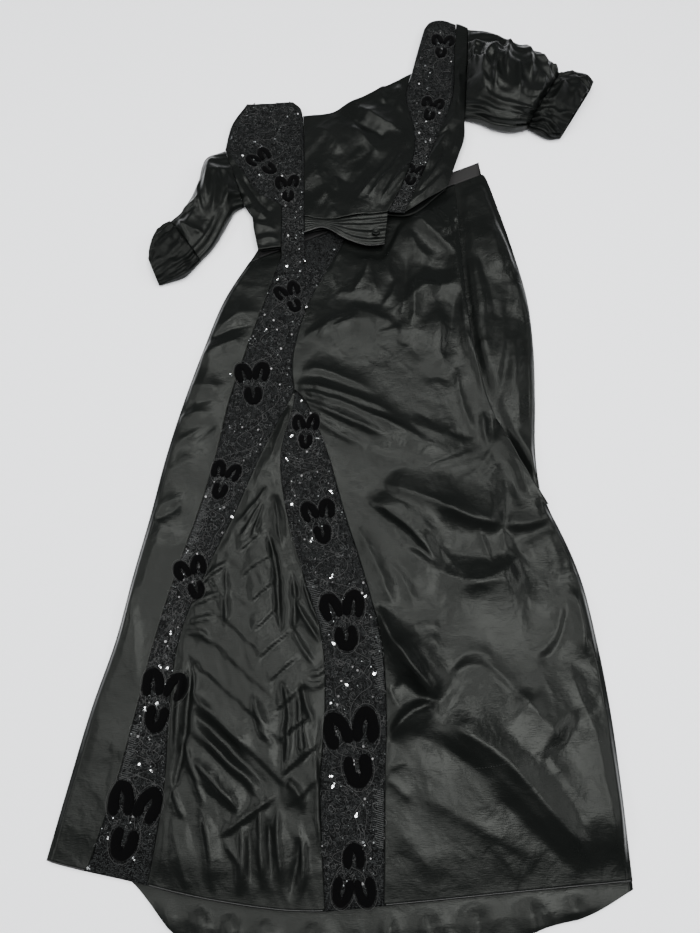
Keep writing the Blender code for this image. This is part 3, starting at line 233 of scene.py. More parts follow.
# Pleats and gathers of the inset
INSET_RIDGES = (
    (-9.4, -5.6, -10.4, -10.4, -13.0, -16.4, 0.25, 0.45, 0.0),
    (-12.2, -18.6, -14.2, -22.2, -17.0, -25.0, 0.34, 0.4, 0.25),
    (-12.4, -20.2, -14.0, -23.6, -16.2, -27.0, 0.34, 0.36, 0.25),
    (-12.4, -20.8, -13.2, -24.0, -14.4, -27.0, 0.32, 0.34, 0.1),
    (-11.2, -19.6, -10.4, -24.2, -9.6, -28.6, 0.3, 0.42, 0.0),
    (-9.0, -22.6, -7.8, -27.6, -6.2, -32.6, 0.3, 0.36, 0.0),
    (-17.8, -29.6, -17.1, -35.2, -17.4, -40.6, 0.3, 0.35, 0.0),
    (-21.8, -34.6, -19.6, -31.8, -16.4, -29.8, 0.3, 0.34, 0.2),
    (-20.4, -32.2, -18.4, -33.8, -16.8, -36.4, 0.26, 0.32, 0.0),
    (-22.8, -36.8, -20.2, -35.2, -17.4, -34.8, 0.28, 0.34, 0.2),
    (-23.0, -38.4, -20.2, -38.1, -17.8, -37.2, 0.26, 0.34, 0.0),
    (-23.4, -40.4, -20.8, -40.0, -18.6, -42.4, 0.28, 0.34, 0.0),
    (-22.8, -43.4, -22.7, -50.0, -23.2, -57.0, 0.3, 0.34, 0.0),
    (-21.4, -48.6, -17.4, -51.8, -12.4, -56.4, 0.48, 0.9, 0.4),
    (-20.8, -52.4, -16.2, -56.2, -11.8, -59.8, 0.55, 0.8, 0.45),
    (-21.2, -55.6, -17.6, -58.8, -13.2, -63.4, 0.5, 0.7, 0.45),
    (-16.6, -65.4, -13.2, -62.9, -8.8, -59.9, 0.45, 0.48, 0.4),
    (-22.4, -52.4, -20.6, -57.0, -18.2, -62.6, 0.28, 0.36, 0.0),
    (-23.6, -57.6, -22.3, -60.8, -20.6, -63.6, 0.28, 0.34, 0.0),
    (-22.8, -62.4, -21.2, -67.4, -19.8, -72.0, 0.25, 0.5, 0.0),
    (-19.2, -62.0, -17.6, -66.6, -16.8, -72.0, 0.3, 0.6, 0.2),
    (-16.2, -65.2, -14.3, -67.4, -12.8, -69.4, 0.25, 0.32, 0.0),
    (-6.9, -31.8, -5.2, -36.8, -2.8, -41.2, 0.38, 0.36, 0.2),
    (-8.2, -34.4, -6.2, -38.4, -3.6, -42.2, 0.34, 0.34, 0.2),
    (-8.4, -38.6, -6.8, -41.8, -4.2, -44.6, 0.32, 0.36, 0.2),
    (-6.4, -46.4, -4.6, -47.0, -2.8, -45.4, 0.28, 0.3, 0.0),
    (-5.9, -45.2, -4.2, -45.2, -2.6, -43.4, 0.26, 0.3, 0.0),
    (-9.4, -46.2, -8.2, -51.0, -8.6, -58.6, 0.45, 0.42, 0.2),
    (-6.9, -46.8, -6.6, -51.6, -6.2, -57.6, 0.36, 0.42, -0.2),
    (-4.9, -53.2, -4.2, -61.0, -3.7, -68.0, 0.32, 0.36, 0.0),
    (-8.6, -58.8, -7.0, -59.6, -5.8, -62.4, 0.42, 0.5, 0.0),
    (-11.6, -60.6, -11.2, -65.6, -10.8, -72.0, 0.36, 0.44, 0.2),
    (-9.0, -60.8, -9.0, -65.6, -8.2, -72.0, 0.38, 0.42, 0.2),
    (-13.9, -62.8, -13.4, -67.4, -13.8, -72.4, 0.34, 0.5, 0.2),
    (-6.8, -63.6, -5.8, -67.6, -6.2, -72.6, 0.34, 0.4, 0.0),
    (-12.8, -47.6, -12.2, -51.2, -9.6, -55.4, 0.35, 0.7, 0.3),
)
INSET_TROUGHS = (
    (-12.2, -25.2, -10.4, -32.0, -9.6, -41.4, 0.55, 0.42, 0.0),
    (-8.5, -30.6, -7.6, -36.6, -8.3, -40.6, 0.4, 0.34, 0.0),
    (-22.1, -43.0, -21.7, -52.0, -23.7, -62.2, 0.5, 0.36, 0.0),
    (-21.0, -50.2, -16.6, -54.4, -9.6, -60.2, 0.45, 0.7, 0.0),
    (-6.6, -46.2, -5.9, -49.0, -4.6, -51.8, 0.35, 0.4, 0.0),
    (-10.4, -62.4, -10.0, -66.0, -9.7, -71.0, 0.3, 0.3, 0.0),
    (-6.0, -63.8, -6.6, -68.0, -7.6, -72.8, 0.35, 0.34, 0.0),
    (-12.6, -63.6, -12.5, -67.0, -12.2, -71.6, 0.25, 0.32, 0.0),
)

# Broad forms of the skirt front under its sharper folds, on which the panels ride
BROAD_FORMS = (
    (17.2, 24.5, 14.6, 27.2, 11.0, 30.5, 1.2, 2.0, 0.0),
    (17.0, 27.0, 18.6, 10.9, 22.2, -7.5, 1.3, 1.6, 0.0),
    (22.2, -7.5, 26.2, -14.6, 30.0, -23.0, 1.0, 1.8, 0.0),
    (-8.5, -3.0, -2.0, -4.9, 4.5, -6.6, 1.2, 1.3, 0.0),
    (-8.0, -3.6, 1.6, -8.2, 12.5, -12.0, 1.6, 1.6, 0.0),
    (-7.8, -4.6, 3.8, -10.1, 19.0, -13.6, 1.2, 1.6, 0.0),
    (-6.0, 5.5, -1.0, 8.0, 6.0, 8.5, 1.2, 1.8, 0.0),
    (6.0, 8.5, 10.1, 13.6, 16.5, 16.0, 1.0, 1.8, 0.0),
    (2.0, 23.5, 3.0, 16.6, 3.0, 11.0, 1.0, 1.8, 0.0),
    (14.0, -1.0, 14.5, 5.3, 14.0, 12.0, 0.9, 2.2, 0.0),
    (12.0, -32.0, 18.8, -33.1, 25.0, -31.5, 1.4, 2.6, 0.0),
    (3.0, -20.0, 11.0, -22.6, 19.0, -22.5, 1.0, 2.6, 0.0),
    (4.5, -40.0, 8.5, -44.4, 12.5, -49.5, 2.0, 2.2, 0.0),
    (12.5, -49.5, 8.9, -51.1, 5.0, -53.0, 1.2, 1.8, 0.0),
    (7.5, -50.0, 18.6, -57.8, 29.0, -69.0, 1.3, 2.6, 0.0),
    (21.5, -47.5, 25.0, -51.0, 28.5, -54.5, 1.3, 2.4, 0.0),
    (30.0, -33.0, 31.9, -38.5, 32.0, -45.0, 1.0, 1.8, 0.0),
    (31.8, -50.0, 33.0, -59.3, 33.8, -69.0, 1.0, 1.8, 0.0),
    (25.5, -13.0, 25.7, -2.2, 25.0, 8.0, 0.9, 1.8, 0.0),
    (26.2, 16.0, 24.5, 22.3, 22.8, 30.0, 0.9, 1.6, 0.0),
    (-20.5, 8.0, -22.6, -1.8, -25.0, -11.0, 0.9, 1.8, 0.0),
    (-26.2, -20.0, -29.3, -34.5, -33.0, -52.0, 0.9, 2.2, 0.0),
    (-17.0, 14.0, -18.8, 7.5, -20.0, 0.0, 0.6, 1.8, 0.0),
)
BROAD_SHARE = 0.85
PLEAT_HEIGHT = 1.9
PLEAT_WIDTH = 1.2
INSET_SLANT = 0.35
INSET_EDGE = 0.012
INSET_BEGINS = 0.06

# Strips plaited over each other down the middle of the inset
PLAIT_MIDDLE = {
    "y": (-0.620, -0.590, -0.505, -0.437, -0.275, -0.240),
    "x": (-0.084, -0.086, -0.095, -0.118, -0.158, -0.165),
}
PLAIT_WIDTH = 0.034
PLAIT_TURN = math.radians(40)
PLAIT_RISE = 0.0023
PLAIT_STEEPER = 1.8       # the strips of the right side against those of the left
PLAIT_EDGE = 0.14         # share of a strip's width in which its lower edge drops
PLAIT_CROSSES = (-0.012, 0.004)       # about the middle line, where one side's strips end
PLAIT_LEFT = (0.006, 0.036)           # from the inset's left edge, where they begin
PLAIT_RIGHT = (0.062, 0.034)          # right of the middle line, where they fade
PLAIT_TOP = (-0.235, -0.275)
PLAIT_BOTTOM = (-0.635, -0.590)

# Random heights laid over one another: height, size of a hump and seed of each
WANDER = 0.0035
WANDER_ACROSS = ((1.0, 0.045, 11), (0.5, 0.017, 12))
WANDER_DOWN = ((1.0, 0.045, 13), (0.5, 0.017, 14))
HOLLOWS = ((0.0030, 0.070, 21), (0.0010, 0.026, 22), (0.00022, 0.0085, 23))
CREASES = ((0.7, 0.035, 26), (-0.6, 0.030, 27), (1.7, 0.045, 28))      # turn, size, seed
CREASE_HEIGHT = 0.00028
CREASE_WIDTH = 0.10
CREASE_RUN = 0.35         # how far its noise is drawn out along a crease
CREASE_BEND = (0.02, 0.05)
RIPPLE = ((0.0026, 0.015, 29), (0.0010, 0.007, 30))
RIPPLE_RUN = 0.3
CRINKLE = ((0.0044, 0.026, 51), (0.0022, 0.011, 52))
CRINKLE_RUN = 0.35

# How the folds settle at edges, hems and layers
PLATEAU = 0.0022          # the front lies this much off the back, so that troughs show
EDGE_SETTLES = 0.009
HEM_SETTLES = 0.05
HEM_FOLD_SHARE = 0.55
FOLDS_BEGIN = (0.004, 0.030)
SIDE_FOLDS_BEGIN = (0.003, 0.024)
DRAPE_RISES = (-0.036, -0.014)
DRAPE_FREE = (-0.235, -0.205)
NET_STIFFNESS = 0.6       # share of the fine folds that net loses
NET_EDGE = 0.012
TRAIN_BEGINS = (0.002, 0.028)
TRAIN_FOLD_HEIGHT = 2.0

TRAIN_RIDGES = (
    (-22.5, -70.5, -22.3, -73.5, -22.0, -77.0, 0.35, 0.9, 0.0),
    (-18.4, -70.5, -18.0, -74.5, -17.6, -80.0, 0.55, 0.9, 0.0),
    (-14.6, -71.0, -14.5, -76.0, -14.2, -81.5, 0.5, 0.8, 0.0),
    (-10.5, -71.5, -10.3, -77.0, -10.2, -82.5, 0.45, 1.0, 0.0),
    (-4.6, -72.0, -4.5, -77.0, -4.2, -83.0, 0.6, 1.1, 0.0),
    (4.6, -71.8, 4.5, -77.0, 4.4, -82.8, 0.5, 0.8, 0.0),
    (8.0, -73.8, 10.2, -72.8, 13.0, -72.0, 0.35, 0.6, 0.0),
    (9.2, -72.0, 9.6, -76.0, 10.4, -81.0, 0.55, 1.0, 0.0),
    (15.2, -71.0, 15.4, -75.0, 15.8, -79.0, 0.55, 1.0, 0.0),
    (21.8, -70.5, 22.2, -73.5, 22.8, -77.0, 0.45, 0.9, 0.0),
    (27.4, -70.0, 27.6, -72.4, 28.0, -75.0, 0.35, 0.8, 0.0),
)

# Bodice
BODICE_OVER_SKIRT = 0.0066
BODICE_PUFF = 0.010
BODICE_CENTRE = (0.02, 0.42)
BODICE_SPREAD = (0.11, 0.12)
WAIST_RAMP = 0.060
RAMP_BEGINS = 0.004
BODICE_CLEAR = 0.0007
BODICE_PLATEAU = 0.0014
BODICE_NET_FOLDS = 0.5    # share of the folds kept by net and sash
STRIP_SETTLES = (0.004, 0.024)
STRIP_END = 0.177
STRIP_SINKS = 0.014
YOKE_OUTER = ((-0.186, 0.533), (-0.211, 0.484), (-0.219, 0.429))
YOKE_LOWER = ((-0.219, 0.429), (-0.191, 0.388), (-0.152, 0.332), (-0.117, 0.312))
STRIP_LEFT = ((-0.117, 0.312), (-0.115, 0.268), (-0.114, 0.223))
STRIP_LEFT_TAIL = ((-0.114, 0.223), (-0.113, 0.200), (-0.113, 0.177))
YOKE_INNER_TOP = ((-0.103, 0.536), (-0.089, 0.522), (-0.084, 0.502))
YOKE_INNER = ((-0.084, 0.502), (-0.080, 0.430), (-0.079, 0.370), (-0.078, 0.312))
STRIP_RIGHT = ((-0.078, 0.312), (-0.0775, 0.296), (-0.077, 0.284))
STRIP_RIGHT_SASH = ((-0.077, 0.284), (-0.0765, 0.268), (-0.076, 0.252))
STRIP_RIGHT_TAIL = ((-0.076, 0.252), (-0.0755, 0.215), (-0.075, 0.177))
ARMHOLE_LEFT = ((-0.219, 0.428), (-0.200, 0.370), (-0.181, 0.312))
SIDE_LEFT = ((-0.181, 0.312), (-0.167, 0.290), (-0.161, 0.258), (-0.152, 0.217))
NECKLINE = ((-0.084, 0.502), (-0.036, 0.507), (0.008, 0.539), (0.060, 0.570), (0.113, 0.604))
LACE_LEFT_TOP = ((0.140, 0.714), (0.125, 0.655), (0.113, 0.604))
LACE_LEFT = ((0.113, 0.604), (0.101, 0.550), (0.112, 0.480),
             (0.112, 0.424), (0.086, 0.339), (0.064, 0.290))
LACE_RIGHT = ((0.201, 0.728), (0.193, 0.632), (0.184, 0.537),
              (0.157, 0.462), (0.130, 0.381), (0.092, 0.288))
SHOULDER = ((0.140, 0.714), (0.152, 0.733), (0.176, 0.740), (0.201, 0.728))
ARMHOLE_RIGHT = ((0.2230, 0.716), (0.214, 0.609), (0.205, 0.502))
SIDE_RIGHT = ((0.205, 0.502), (0.202, 0.453), (0.190, 0.415), (0.166, 0.342))
SASH_TOP = ((-0.077, 0.284), (-0.030, 0.276), (0.020, 0.284), (0.064, 0.290))
SASH_BOTTOM = ((-0.076, 0.252), (-0.047, 0.260), (-0.008, 0.238), (0.030, 0.225), (0.057, 0.227))
SASH_END = ((0.064, 0.290), (0.061, 0.259), (0.057, 0.227))
BODICE_EDGE = dict(
    x=(-0.30, -0.152, -0.114, -0.078, -0.047, -0.008, 0.033, 0.055, 0.084, 0.166, 0.30),
    y=(0.180, 0.216, 0.223, 0.252, 0.258, 0.237, 0.225, 0.228, 0.285, 0.342, 0.400),
)
BODICE_FOLD_HEIGHT = 1.5
GATHERS_RUN = math.radians(56)
SASH_GATHERS = dict(count=5, uneven=2.4, height=0.0036, flat_end=0.10, begin=-0.020, full=0.045)
SASH_HUMP = 0.0015
SASH_ROUND = 0.4
BODICE_RIDGES = (
    (1.4, 52.6, 5.0, 49.2, 9.8, 46.0, 0.7, 1.0, 0.3),
    (0.0, 47.4, 2.4, 44.6, 5.2, 40.0, 0.5, 0.7, 0.2),
    (9.6, 42.0, 6.4, 36.8, 2.4, 31.0, 0.42, 0.45, 0.2),
    (7.6, 41.6, 4.4, 36.2, 0.6, 31.4, 0.38, 0.42, 0.2),
    (10.0, 39.0, 7.4, 34.8, 4.6, 30.6, 0.42, 0.45, 0.2),
    (-4.0, 38.8, -5.2, 36.8, -6.8, 36.6, 0.25, 0.4, 0.0),
    (-3.4, 36.4, -2.2, 35.2, -3.2, 32.6, 0.25, 0.4, 0.0),
    (6.2, 58.2, 5.6, 55.2, 6.8, 52.4, 0.35, 0.6, 0.0),
    (9.0, 58.0, 8.6, 54.2, 9.6, 50.0, 0.35, 0.7, 0.0),
    (-7.0, 47.8, -3.4, 45.4, -1.6, 40.6, 0.4, 1.1, 0.0),
    (-6.8, 41.0, -4.8, 35.0, -2.4, 30.2, 0.35, 0.9, 0.0),
    (18.8, 56.0, 18.2, 49.4, 14.4, 45.2, 0.6, 0.8, 0.0),
    (18.4, 48.6, 15.0, 42.4, 11.8, 36.4, 0.7, 0.8, 0.3),
    (16.8, 42.6, 14.2, 37.2, 10.4, 31.4, 0.55, 0.6, 0.3),
    (17.4, 38.6, 13.4, 33.8, 9.4, 30.2, 0.45, 0.55, 0.2),
    (20.0, 62.0, 19.6, 56.0, 19.8, 50.6, 0.45, 0.6, 0.0),
    (20.0, 49.0, 18.6, 45.0, 17.8, 41.0, 0.4, 0.6, 0.0),
    (-17.4, 31.2, -15.8, 29.4, -13.4, 28.0, 0.45, 0.7, 0.0),
    (-16.2, 27.4, -14.8, 26.4, -12.2, 25.8, 0.4, 0.6, 0.0),
    (-20.6, 38.6, -18.4, 34.2, -16.6, 30.8, 0.4, 0.6, 0.2),
    (-15.4, 23.2, -13.8, 23.8, -11.8, 24.0, 0.35, 0.5, 0.0),
)
BODICE_TROUGHS = (
    (-0.2, 49.4, 3.2, 47.2, 7.2, 44.4, 0.35, 0.55, 0.0),
    (-3.2, 37.2, -0.8, 35.6, 1.2, 34.2, 0.25, 0.7, 0.0),
    (17.6, 45.6, 15.4, 40.2, 12.4, 34.6, 0.3, 0.4, 0.0),
    (-19.2, 38.2, -15.6, 32.0, -12.4, 28.8, 0.3, 0.4, 0.0),
)

SLEEVE_RIGHT = (
    # outer x, outer y, inner x, inner y, height
    (0.2233, 0.7160, 0.2053, 0.5020, 0.020),
    (0.2600, 0.6960, 0.2320, 0.4900, 0.040),
    (0.3000, 0.6640, 0.2560, 0.4760, 0.050),
    (0.3400, 0.6340, 0.2850, 0.4700, 0.050),
    (0.3700, 0.6120, 0.3050, 0.4740, 0.040),
    (0.3850, 0.6000, 0.3170, 0.4800, 0.030),
)
CUFF_RIGHT = (
    (0.3853, 0.5998, 0.3173, 0.4798, 0.030),
    (0.4080, 0.6030, 0.3320, 0.4680, 0.034),
    (0.4290, 0.5950, 0.3520, 0.4570, 0.032),
    (0.4420, 0.5760, 0.3740, 0.4600, 0.024),
)
SLEEVE_LEFT = (
    (-0.2193, 0.4280, -0.1813, 0.3120, 0.018),
    (-0.2520, 0.4060, -0.1950, 0.3000, 0.026),
    (-0.2610, 0.3520, -0.2030, 0.2830, 0.028),
    (-0.2820, 0.3000, -0.2250, 0.2330, 0.026),
    (-0.3030, 0.2770, -0.2480, 0.2010, 0.022),
)
CUFF_LEFT = (
    (-0.3032, 0.2768, -0.2482, 0.2008, 0.022),
    (-0.3240, 0.2550, -0.2700, 0.1730, 0.026),
    (-0.3320, 0.2330, -0.2930, 0.1630, 0.024),
    (-0.3340, 0.2050, -0.3130, 0.1570, 0.018),
)
SIDE_LEVEL = 0.32
ROUND_SIDE = 0.8
ROUND_TOP = 0.85
ROUND_SIDE_BELOW = 0.5
ROUND_RISE_BELOW = 0.5
LEAVES_FLOOR = 1.25
SLEEVE_RIDGES = (
    (28.8, 65.6, 23.8, 59.8, 24.4, 51.6, 0.7, 1.0, 0.2),
    (27.4, 63.6, 25.8, 58.0, 25.4, 51.6, 0.55, 0.55, 0.2),
    (29.6, 66.2, 28.1, 60.4, 27.8, 54.0, 0.6, 0.55, 0.0),
    (31.2, 65.2, 32.2, 60.6, 31.6, 52.6, 0.6, 0.6, 0.0),
    (32.4, 65.0, 34.6, 61.0, 36.2, 54.2, 0.55, 0.55, 0.0),
    (33.6, 64.2, 36.2, 61.6, 37.8, 55.2, 0.45, 0.45, 0.0),
    (30.2, 60.0, 29.8, 55.4, 29.6, 49.6, 0.4, 0.5, 0.0),
    (34.2, 57.6, 34.2, 53.6, 31.2, 49.6, 0.5, 0.6, 0.0),
    (37.8, 57.4, 37.6, 54.2, 34.8, 50.4, 0.4, 0.45, 0.0),
    (23.4, 68.0, 22.8, 62.0, 22.6, 55.0, 0.45, 0.6, 0.0),
    (-23.4, 41.6, -24.4, 35.4, -23.4, 28.4, 0.45, 0.7, 0.0),
    (-25.0, 40.4, -25.8, 33.4, -24.0, 27.2, 0.35, 0.4, 0.0),
    (-22.6, 39.0, -22.6, 33.0, -22.8, 26.6, 0.35, 0.4, 0.0),
    (-21.4, 38.4, -20.6, 33.4, -21.0, 28.0, 0.3, 0.4, 0.0),
    (-28.8, 27.8, -27.4, 24.4, -27.9, 21.8, 0.45, 0.45, 0.0),
    (-28.4, 26.8, -26.2, 25.1, -23.8, 24.4, 0.35, 0.4, 0.0),
    (-28.6, 29.4, -26.8, 30.2, -24.8, 32.6, 0.35, 0.45, 0.0),
)

# Velvet flowers: where each lies, how far it is turned and its radius
FLOWERS = (
    # name, x, y, turn in degrees, radius
    ("flower_band_a_1", -0.096, 0.131, 25, 0.027),
    ("flower_band_a_2", -0.151, -0.022, 5, 0.034),
    ("flower_band_a_3", -0.188, -0.180, -15, 0.028),
    ("flower_band_a_4", -0.221, -0.326, 20, 0.029),
    ("flower_band_a_5", -0.253, -0.490, -10, 0.038),
    ("flower_band_a_6", -0.280, -0.636, -12, 0.043),
    ("flower_band_b_1", -0.067, -0.103, 0, 0.026),
    ("flower_band_b_2", -0.043, -0.243, 12, 0.031),
    ("flower_band_b_3", -0.008, -0.385, 8, 0.039),
    ("flower_band_b_4", 0.006, -0.549, 10, 0.046),
    ("flower_band_b_5", 0.005, -0.694, 180, 0.034),
    ("flower_yoke_1", -0.150, 0.402, 40, 0.028),
    ("flower_yoke_2", -0.107, 0.345, 5, 0.026),
    ("flower_lace_1", 0.172, 0.672, -10, 0.027),
    ("flower_lace_2", 0.146, 0.520, -15, 0.026),
    ("flower_lace_3", 0.108, 0.366, -20, 0.023),
)
# Each lobe is a horseshoe of pile whose slit opens away from its tip.
LOBES = (
    # direction and distance of its middle, direction of its tip, half length, half width
    (50, 0.61, 76, 0.62, 0.40),
    (130, 0.61, 104, 0.62, 0.40),
    (270, 0.48, 270, 0.57, 0.41),
)
LOBE_OPENING = 138        # degrees either way from the lobe's tip to the slit
PILE = 0.0021
PILE_WIDTH = 0.42         # half width of the pile, as a share of the lobe's half width

BUTTON_AT = (0.043, 0.247)
BUTTON_RADIUS = 0.007
BUTTON_LIFT = 0.0012
BUTTON_MIDDLE = 0.0012
BUTTON_ROUND = 40
BUTTON_PROFILE = (
    # share of the radius, height over its foot
    (0.98, 0.0), (1.0, 0.0012), (0.92, 0.0034), (0.75, 0.0040), (0.55, 0.0026), (0.35, 0.0013),
)

# Thread work and beads, in metres
NET_STEPS = 140
NET_MARGIN = 0.06
NET_SPANS = {"a": (0.19, 0.86), "b": (-0.07, 0.64)}       # top and length
SCROLL_SIZES = (0.0013, 0.0030)                           # the least and what chance adds
SCROLL_TURNS = (3.2, 2.6)
SCROLL_GROWS = (0.45, 1.25)
SCROLL_POINTS = 9
OUTLINE_GROWS = 1.13
OUTLINE_TURN = 2.55
BRANCHES = (
    # band, top, bottom
    ("band_a", 0.16, -0.66),
    ("band_b", -0.10, -0.71),
)
BRANCH_WAVES = ((0.0, 0.34), (2.1, 0.28))                 # phase, share of the band's width
ARCS = 70
ARC_SIZES = (0.010, 0.012)
ARC_TURN = 2.4
COMBS = (
    # seam, top, bottom, direction
    ("band_b_right", -0.395, -0.475, -1.0),
    ("band_b_right", -0.600, -0.665, -1.0),
    ("band_a_left", -0.190, -0.300, 1.0),
    ("band_a_left", -0.520, -0.600, 1.0),
    ("band_b_left", -0.330, -0.400, 1.0),
)
COMB_STEP = 0.0024
COMB_FROM_EDGE = 0.0015
COMB_REACH = (0.011, 0.003)
SEQUIN_SIDES = 8
SEQUIN_TOP = 0.9
BEAD_SIDES = 6
BEAD_RINGS = ((-0.35, 0.93), (0.45, 0.89))                # height and width, in radii
HEM_BRAIDS = (
    # left seam, right seam
    ("outline_left", "band_a_left"),
    ("band_a_right", "band_b_left"),
    ("band_b_right", "drape_right"),
)

# Sequins that catch the light, in pixels of the picture
GLINTS_PX = (
    (232, 140), (255, 144), (262, 148), (243, 158), (275, 141), (260, 177), (271, 204),
    (409, 159), (411, 153), (438, 45), (440, 40), (456, 38), (451, 46), (461, 31), (425, 67),
    (427, 91), (424, 106), (425, 125), (425, 145), (186, 266), (334, 251), (287, 268),
    (304, 261), (278, 281), (296, 285), (307, 308), (295, 309), (266, 332), (251, 340),
    (232, 377), (301, 402), (230, 428), (292, 436), (317, 439), (287, 460), (331, 492),
    (292, 505), (232, 517), (312, 540), (332, 577), (365, 597), (171, 634), (334, 644),
    (160, 666), (168, 668), (374, 674), (347, 685), (331, 703), (158, 703), (146, 710),
    (355, 722), (140, 764), (152, 770), (330, 776), (333, 786), (116, 811), (356, 816),
    (109, 837), (363, 842), (133, 858), (88, 868),
)
SEAM_STITCHES = ((4.0, -58.0), (12.0, -57.5), (18.0, -57.0),
                 (24.0, -55.5), (30.0, -53.8), (33.5, -54.0))

NOISE_CELLS = 128


def smoothstep(low, high, value):
    share = np.clip((value - low) / (high - low), 0.0, 1.0)
    return share * share * (3.0 - 2.0 * share)


def table_curve(xs, ys):
    """A smooth function through a table of rising or falling xs (Catmull-Rom slopes)."""
    order = np.argsort(xs)
    knots = np.asarray(xs, float)[order]
    values = np.asarray(ys, float)[order]
    slopes = np.gradient(values, knots)

    def read(at):
        at = np.clip(at, knots[0], knots[-1])
        left = np.clip(np.searchsorted(knots, at) - 1, 0, len(knots) - 2)
        width = knots[left + 1] - knots[left]
        share = (at - knots[left]) / width
        square = share * share
        cube = square * share
        return ((2 * cube - 3 * square + 1) * values[left]
                + (cube - 2 * square + share) * width * slopes[left]
                + (3 * square - 2 * cube) * values[left + 1]
                + (cube - square) * width * slopes[left + 1])

    return read


def along(points, steps):
    """Points at equal steps along a smooth curve through the given ones."""
    points = np.asarray(points, float)
    lengths = np.concatenate([[0.0], np.cumsum(np.hypot(*np.diff(points, axis=0).T))])
    at = np.linspace(0.0, lengths[-1], steps + 1)
    return np.stack([table_curve(lengths, points[:, 0])(at),
                     table_curve(lengths, points[:, 1])(at)], axis=-1)


def noise(x, y, size, seed):
    """Smooth random heights from 0 to 1 with humps of the given size."""
    values = np.random.RandomState(seed).rand(NOISE_CELLS, NOISE_CELLS)
    u = x / size + NOISE_CELLS / 2
    v = y / size + NOISE_CELLS / 2
    column = np.floor(u).astype(int)
    row = np.floor(v).astype(int)
    a = smoothstep(0.0, 1.0, u - column)
    b = smoothstep(0.0, 1.0, v - row)

    def between(line):
        here, beside = (values[line % NOISE_CELLS, k % NOISE_CELLS] for k in (column, column + 1))
        return here * (1 - a) + beside * a

    return between(row) * (1 - b) + between(row + 1) * b


def layered(x, y, rows):
    """Noises laid over one another, from rows of height, size and seed."""
    return sum(height * noise(x, y, size, seed) for height, size, seed in rows)


FOLD_PIECES = 8
FOLD_FADE = 0.30
FOLD_POWER = 1.3
FOLD_HEIGHT = 0.80        # of the heights in the tables
FOLD_WIDTH = 1.50         # of the half widths
FOLD_END_WIDTH = 0.65     # of the width at a fold's middle
FOLD_REACH = 3.0          # half widths beyond which a fold isn't felt


def fold_field(rows, x, y, widen=FOLD_WIDTH):
    """Height of curved folds; where they cross, the cube root of the sum of their cubes."""
    total = np.zeros_like(x)
    for x0, y0, x1, y1, x2, y2, height, half_width, lean in rows:
        bend_x = 2.0 * x1 - 0.5 * (x0 + x2)
        bend_y = 2.0 * y1 - 0.5 * (y0 + y2)
        t = np.linspace(0.0, 1.0, FOLD_PIECES + 1)
        run_x = ((1 - t) ** 2 * x0 + 2 * t * (1 - t) * bend_x + t * t * x2) * CM
        run_y = ((1 - t) ** 2 * y0 + 2 * t * (1 - t) * bend_y + t * t * y2) * CM
        half_width = half_width * widen
        reach = FOLD_REACH * half_width * CM * (1.0 + abs(lean))
        near = ((x > run_x.min() - reach) & (x < run_x.max() + reach)
                & (y > run_y.min() - reach) & (y < run_y.max() + reach))
        px = x[near]
        py = y[near]
        best = np.full(px.shape, 1.0)
        side = np.zeros(px.shape)
        share = np.zeros(px.shape)
        for k in range(FOLD_PIECES):
            dx = run_x[k + 1] - run_x[k]
            dy = run_y[k + 1] - run_y[k]
            part = ((px - run_x[k]) * dx + (py - run_y[k]) * dy) / (dx * dx + dy * dy)
            part = np.clip(part, 0.0, 1.0)
            off_x = px - run_x[k] - part * dx
            off_y = py - run_y[k] - part * dy
            distance = np.hypot(off_x, off_y)
            closer = distance < best
            best = np.where(closer, distance, best)
            side = np.where(closer, np.sign(dx * off_y - dy * off_x), side)
            share = np.where(closer, (k + part) / FOLD_PIECES, share)
        width = half_width * CM * (1.0 + lean * side)
        width = width * (FOLD_END_WIDTH + (1.0 - FOLD_END_WIDTH) * np.sin(math.pi * share))
        fade = smoothstep(0.0, FOLD_FADE, share) * smoothstep(0.0, FOLD_FADE, 1.0 - share)
        shape = np.exp(-(best / width) ** FOLD_POWER)
        total[near] += (FOLD_HEIGHT * height * CM * fade * shape) ** 3
    return np.cbrt(total)


seam_x = {name: table_curve(SKIRT_SEAMS["y"], column)
          for name, column in SKIRT_SEAMS.items() if name != "y"}
hem_y = table_curve(FRONT_HEM["x"], FRONT_HEM["y"])
train_reach = table_curve(TRAIN["x"], TRAIN["reach"])
bodice_edge_y = table_curve(BODICE_EDGE["x"], BODICE_EDGE["y"])
plait_middle = table_curve(PLAIT_MIDDLE["y"], PLAIT_MIDDLE["x"])
sash_top_y = table_curve([p[0] for p in SASH_TOP], [p[1] for p in SASH_TOP])
sash_bottom_y = table_curve([p[0] for p in SASH_BOTTOM], [p[1] for p in SASH_BOTTOM])


def waist_y(x):
    return WAIST_MIDDLE + WAIST_SLOPE * x


def where(line, seam, drop=0.0):
    """The y at which a seam meets the waist or hem line, by fixed-point steps."""
    y = line(0.0) - drop
    for _ in range(MEET_STEPS):
        y = line(seam_x[seam](y)) - drop
    return float(y)


STAR_ROW = int(SKIRT_ROWS * STAR_SHARE)
MEET_STEPS = 12


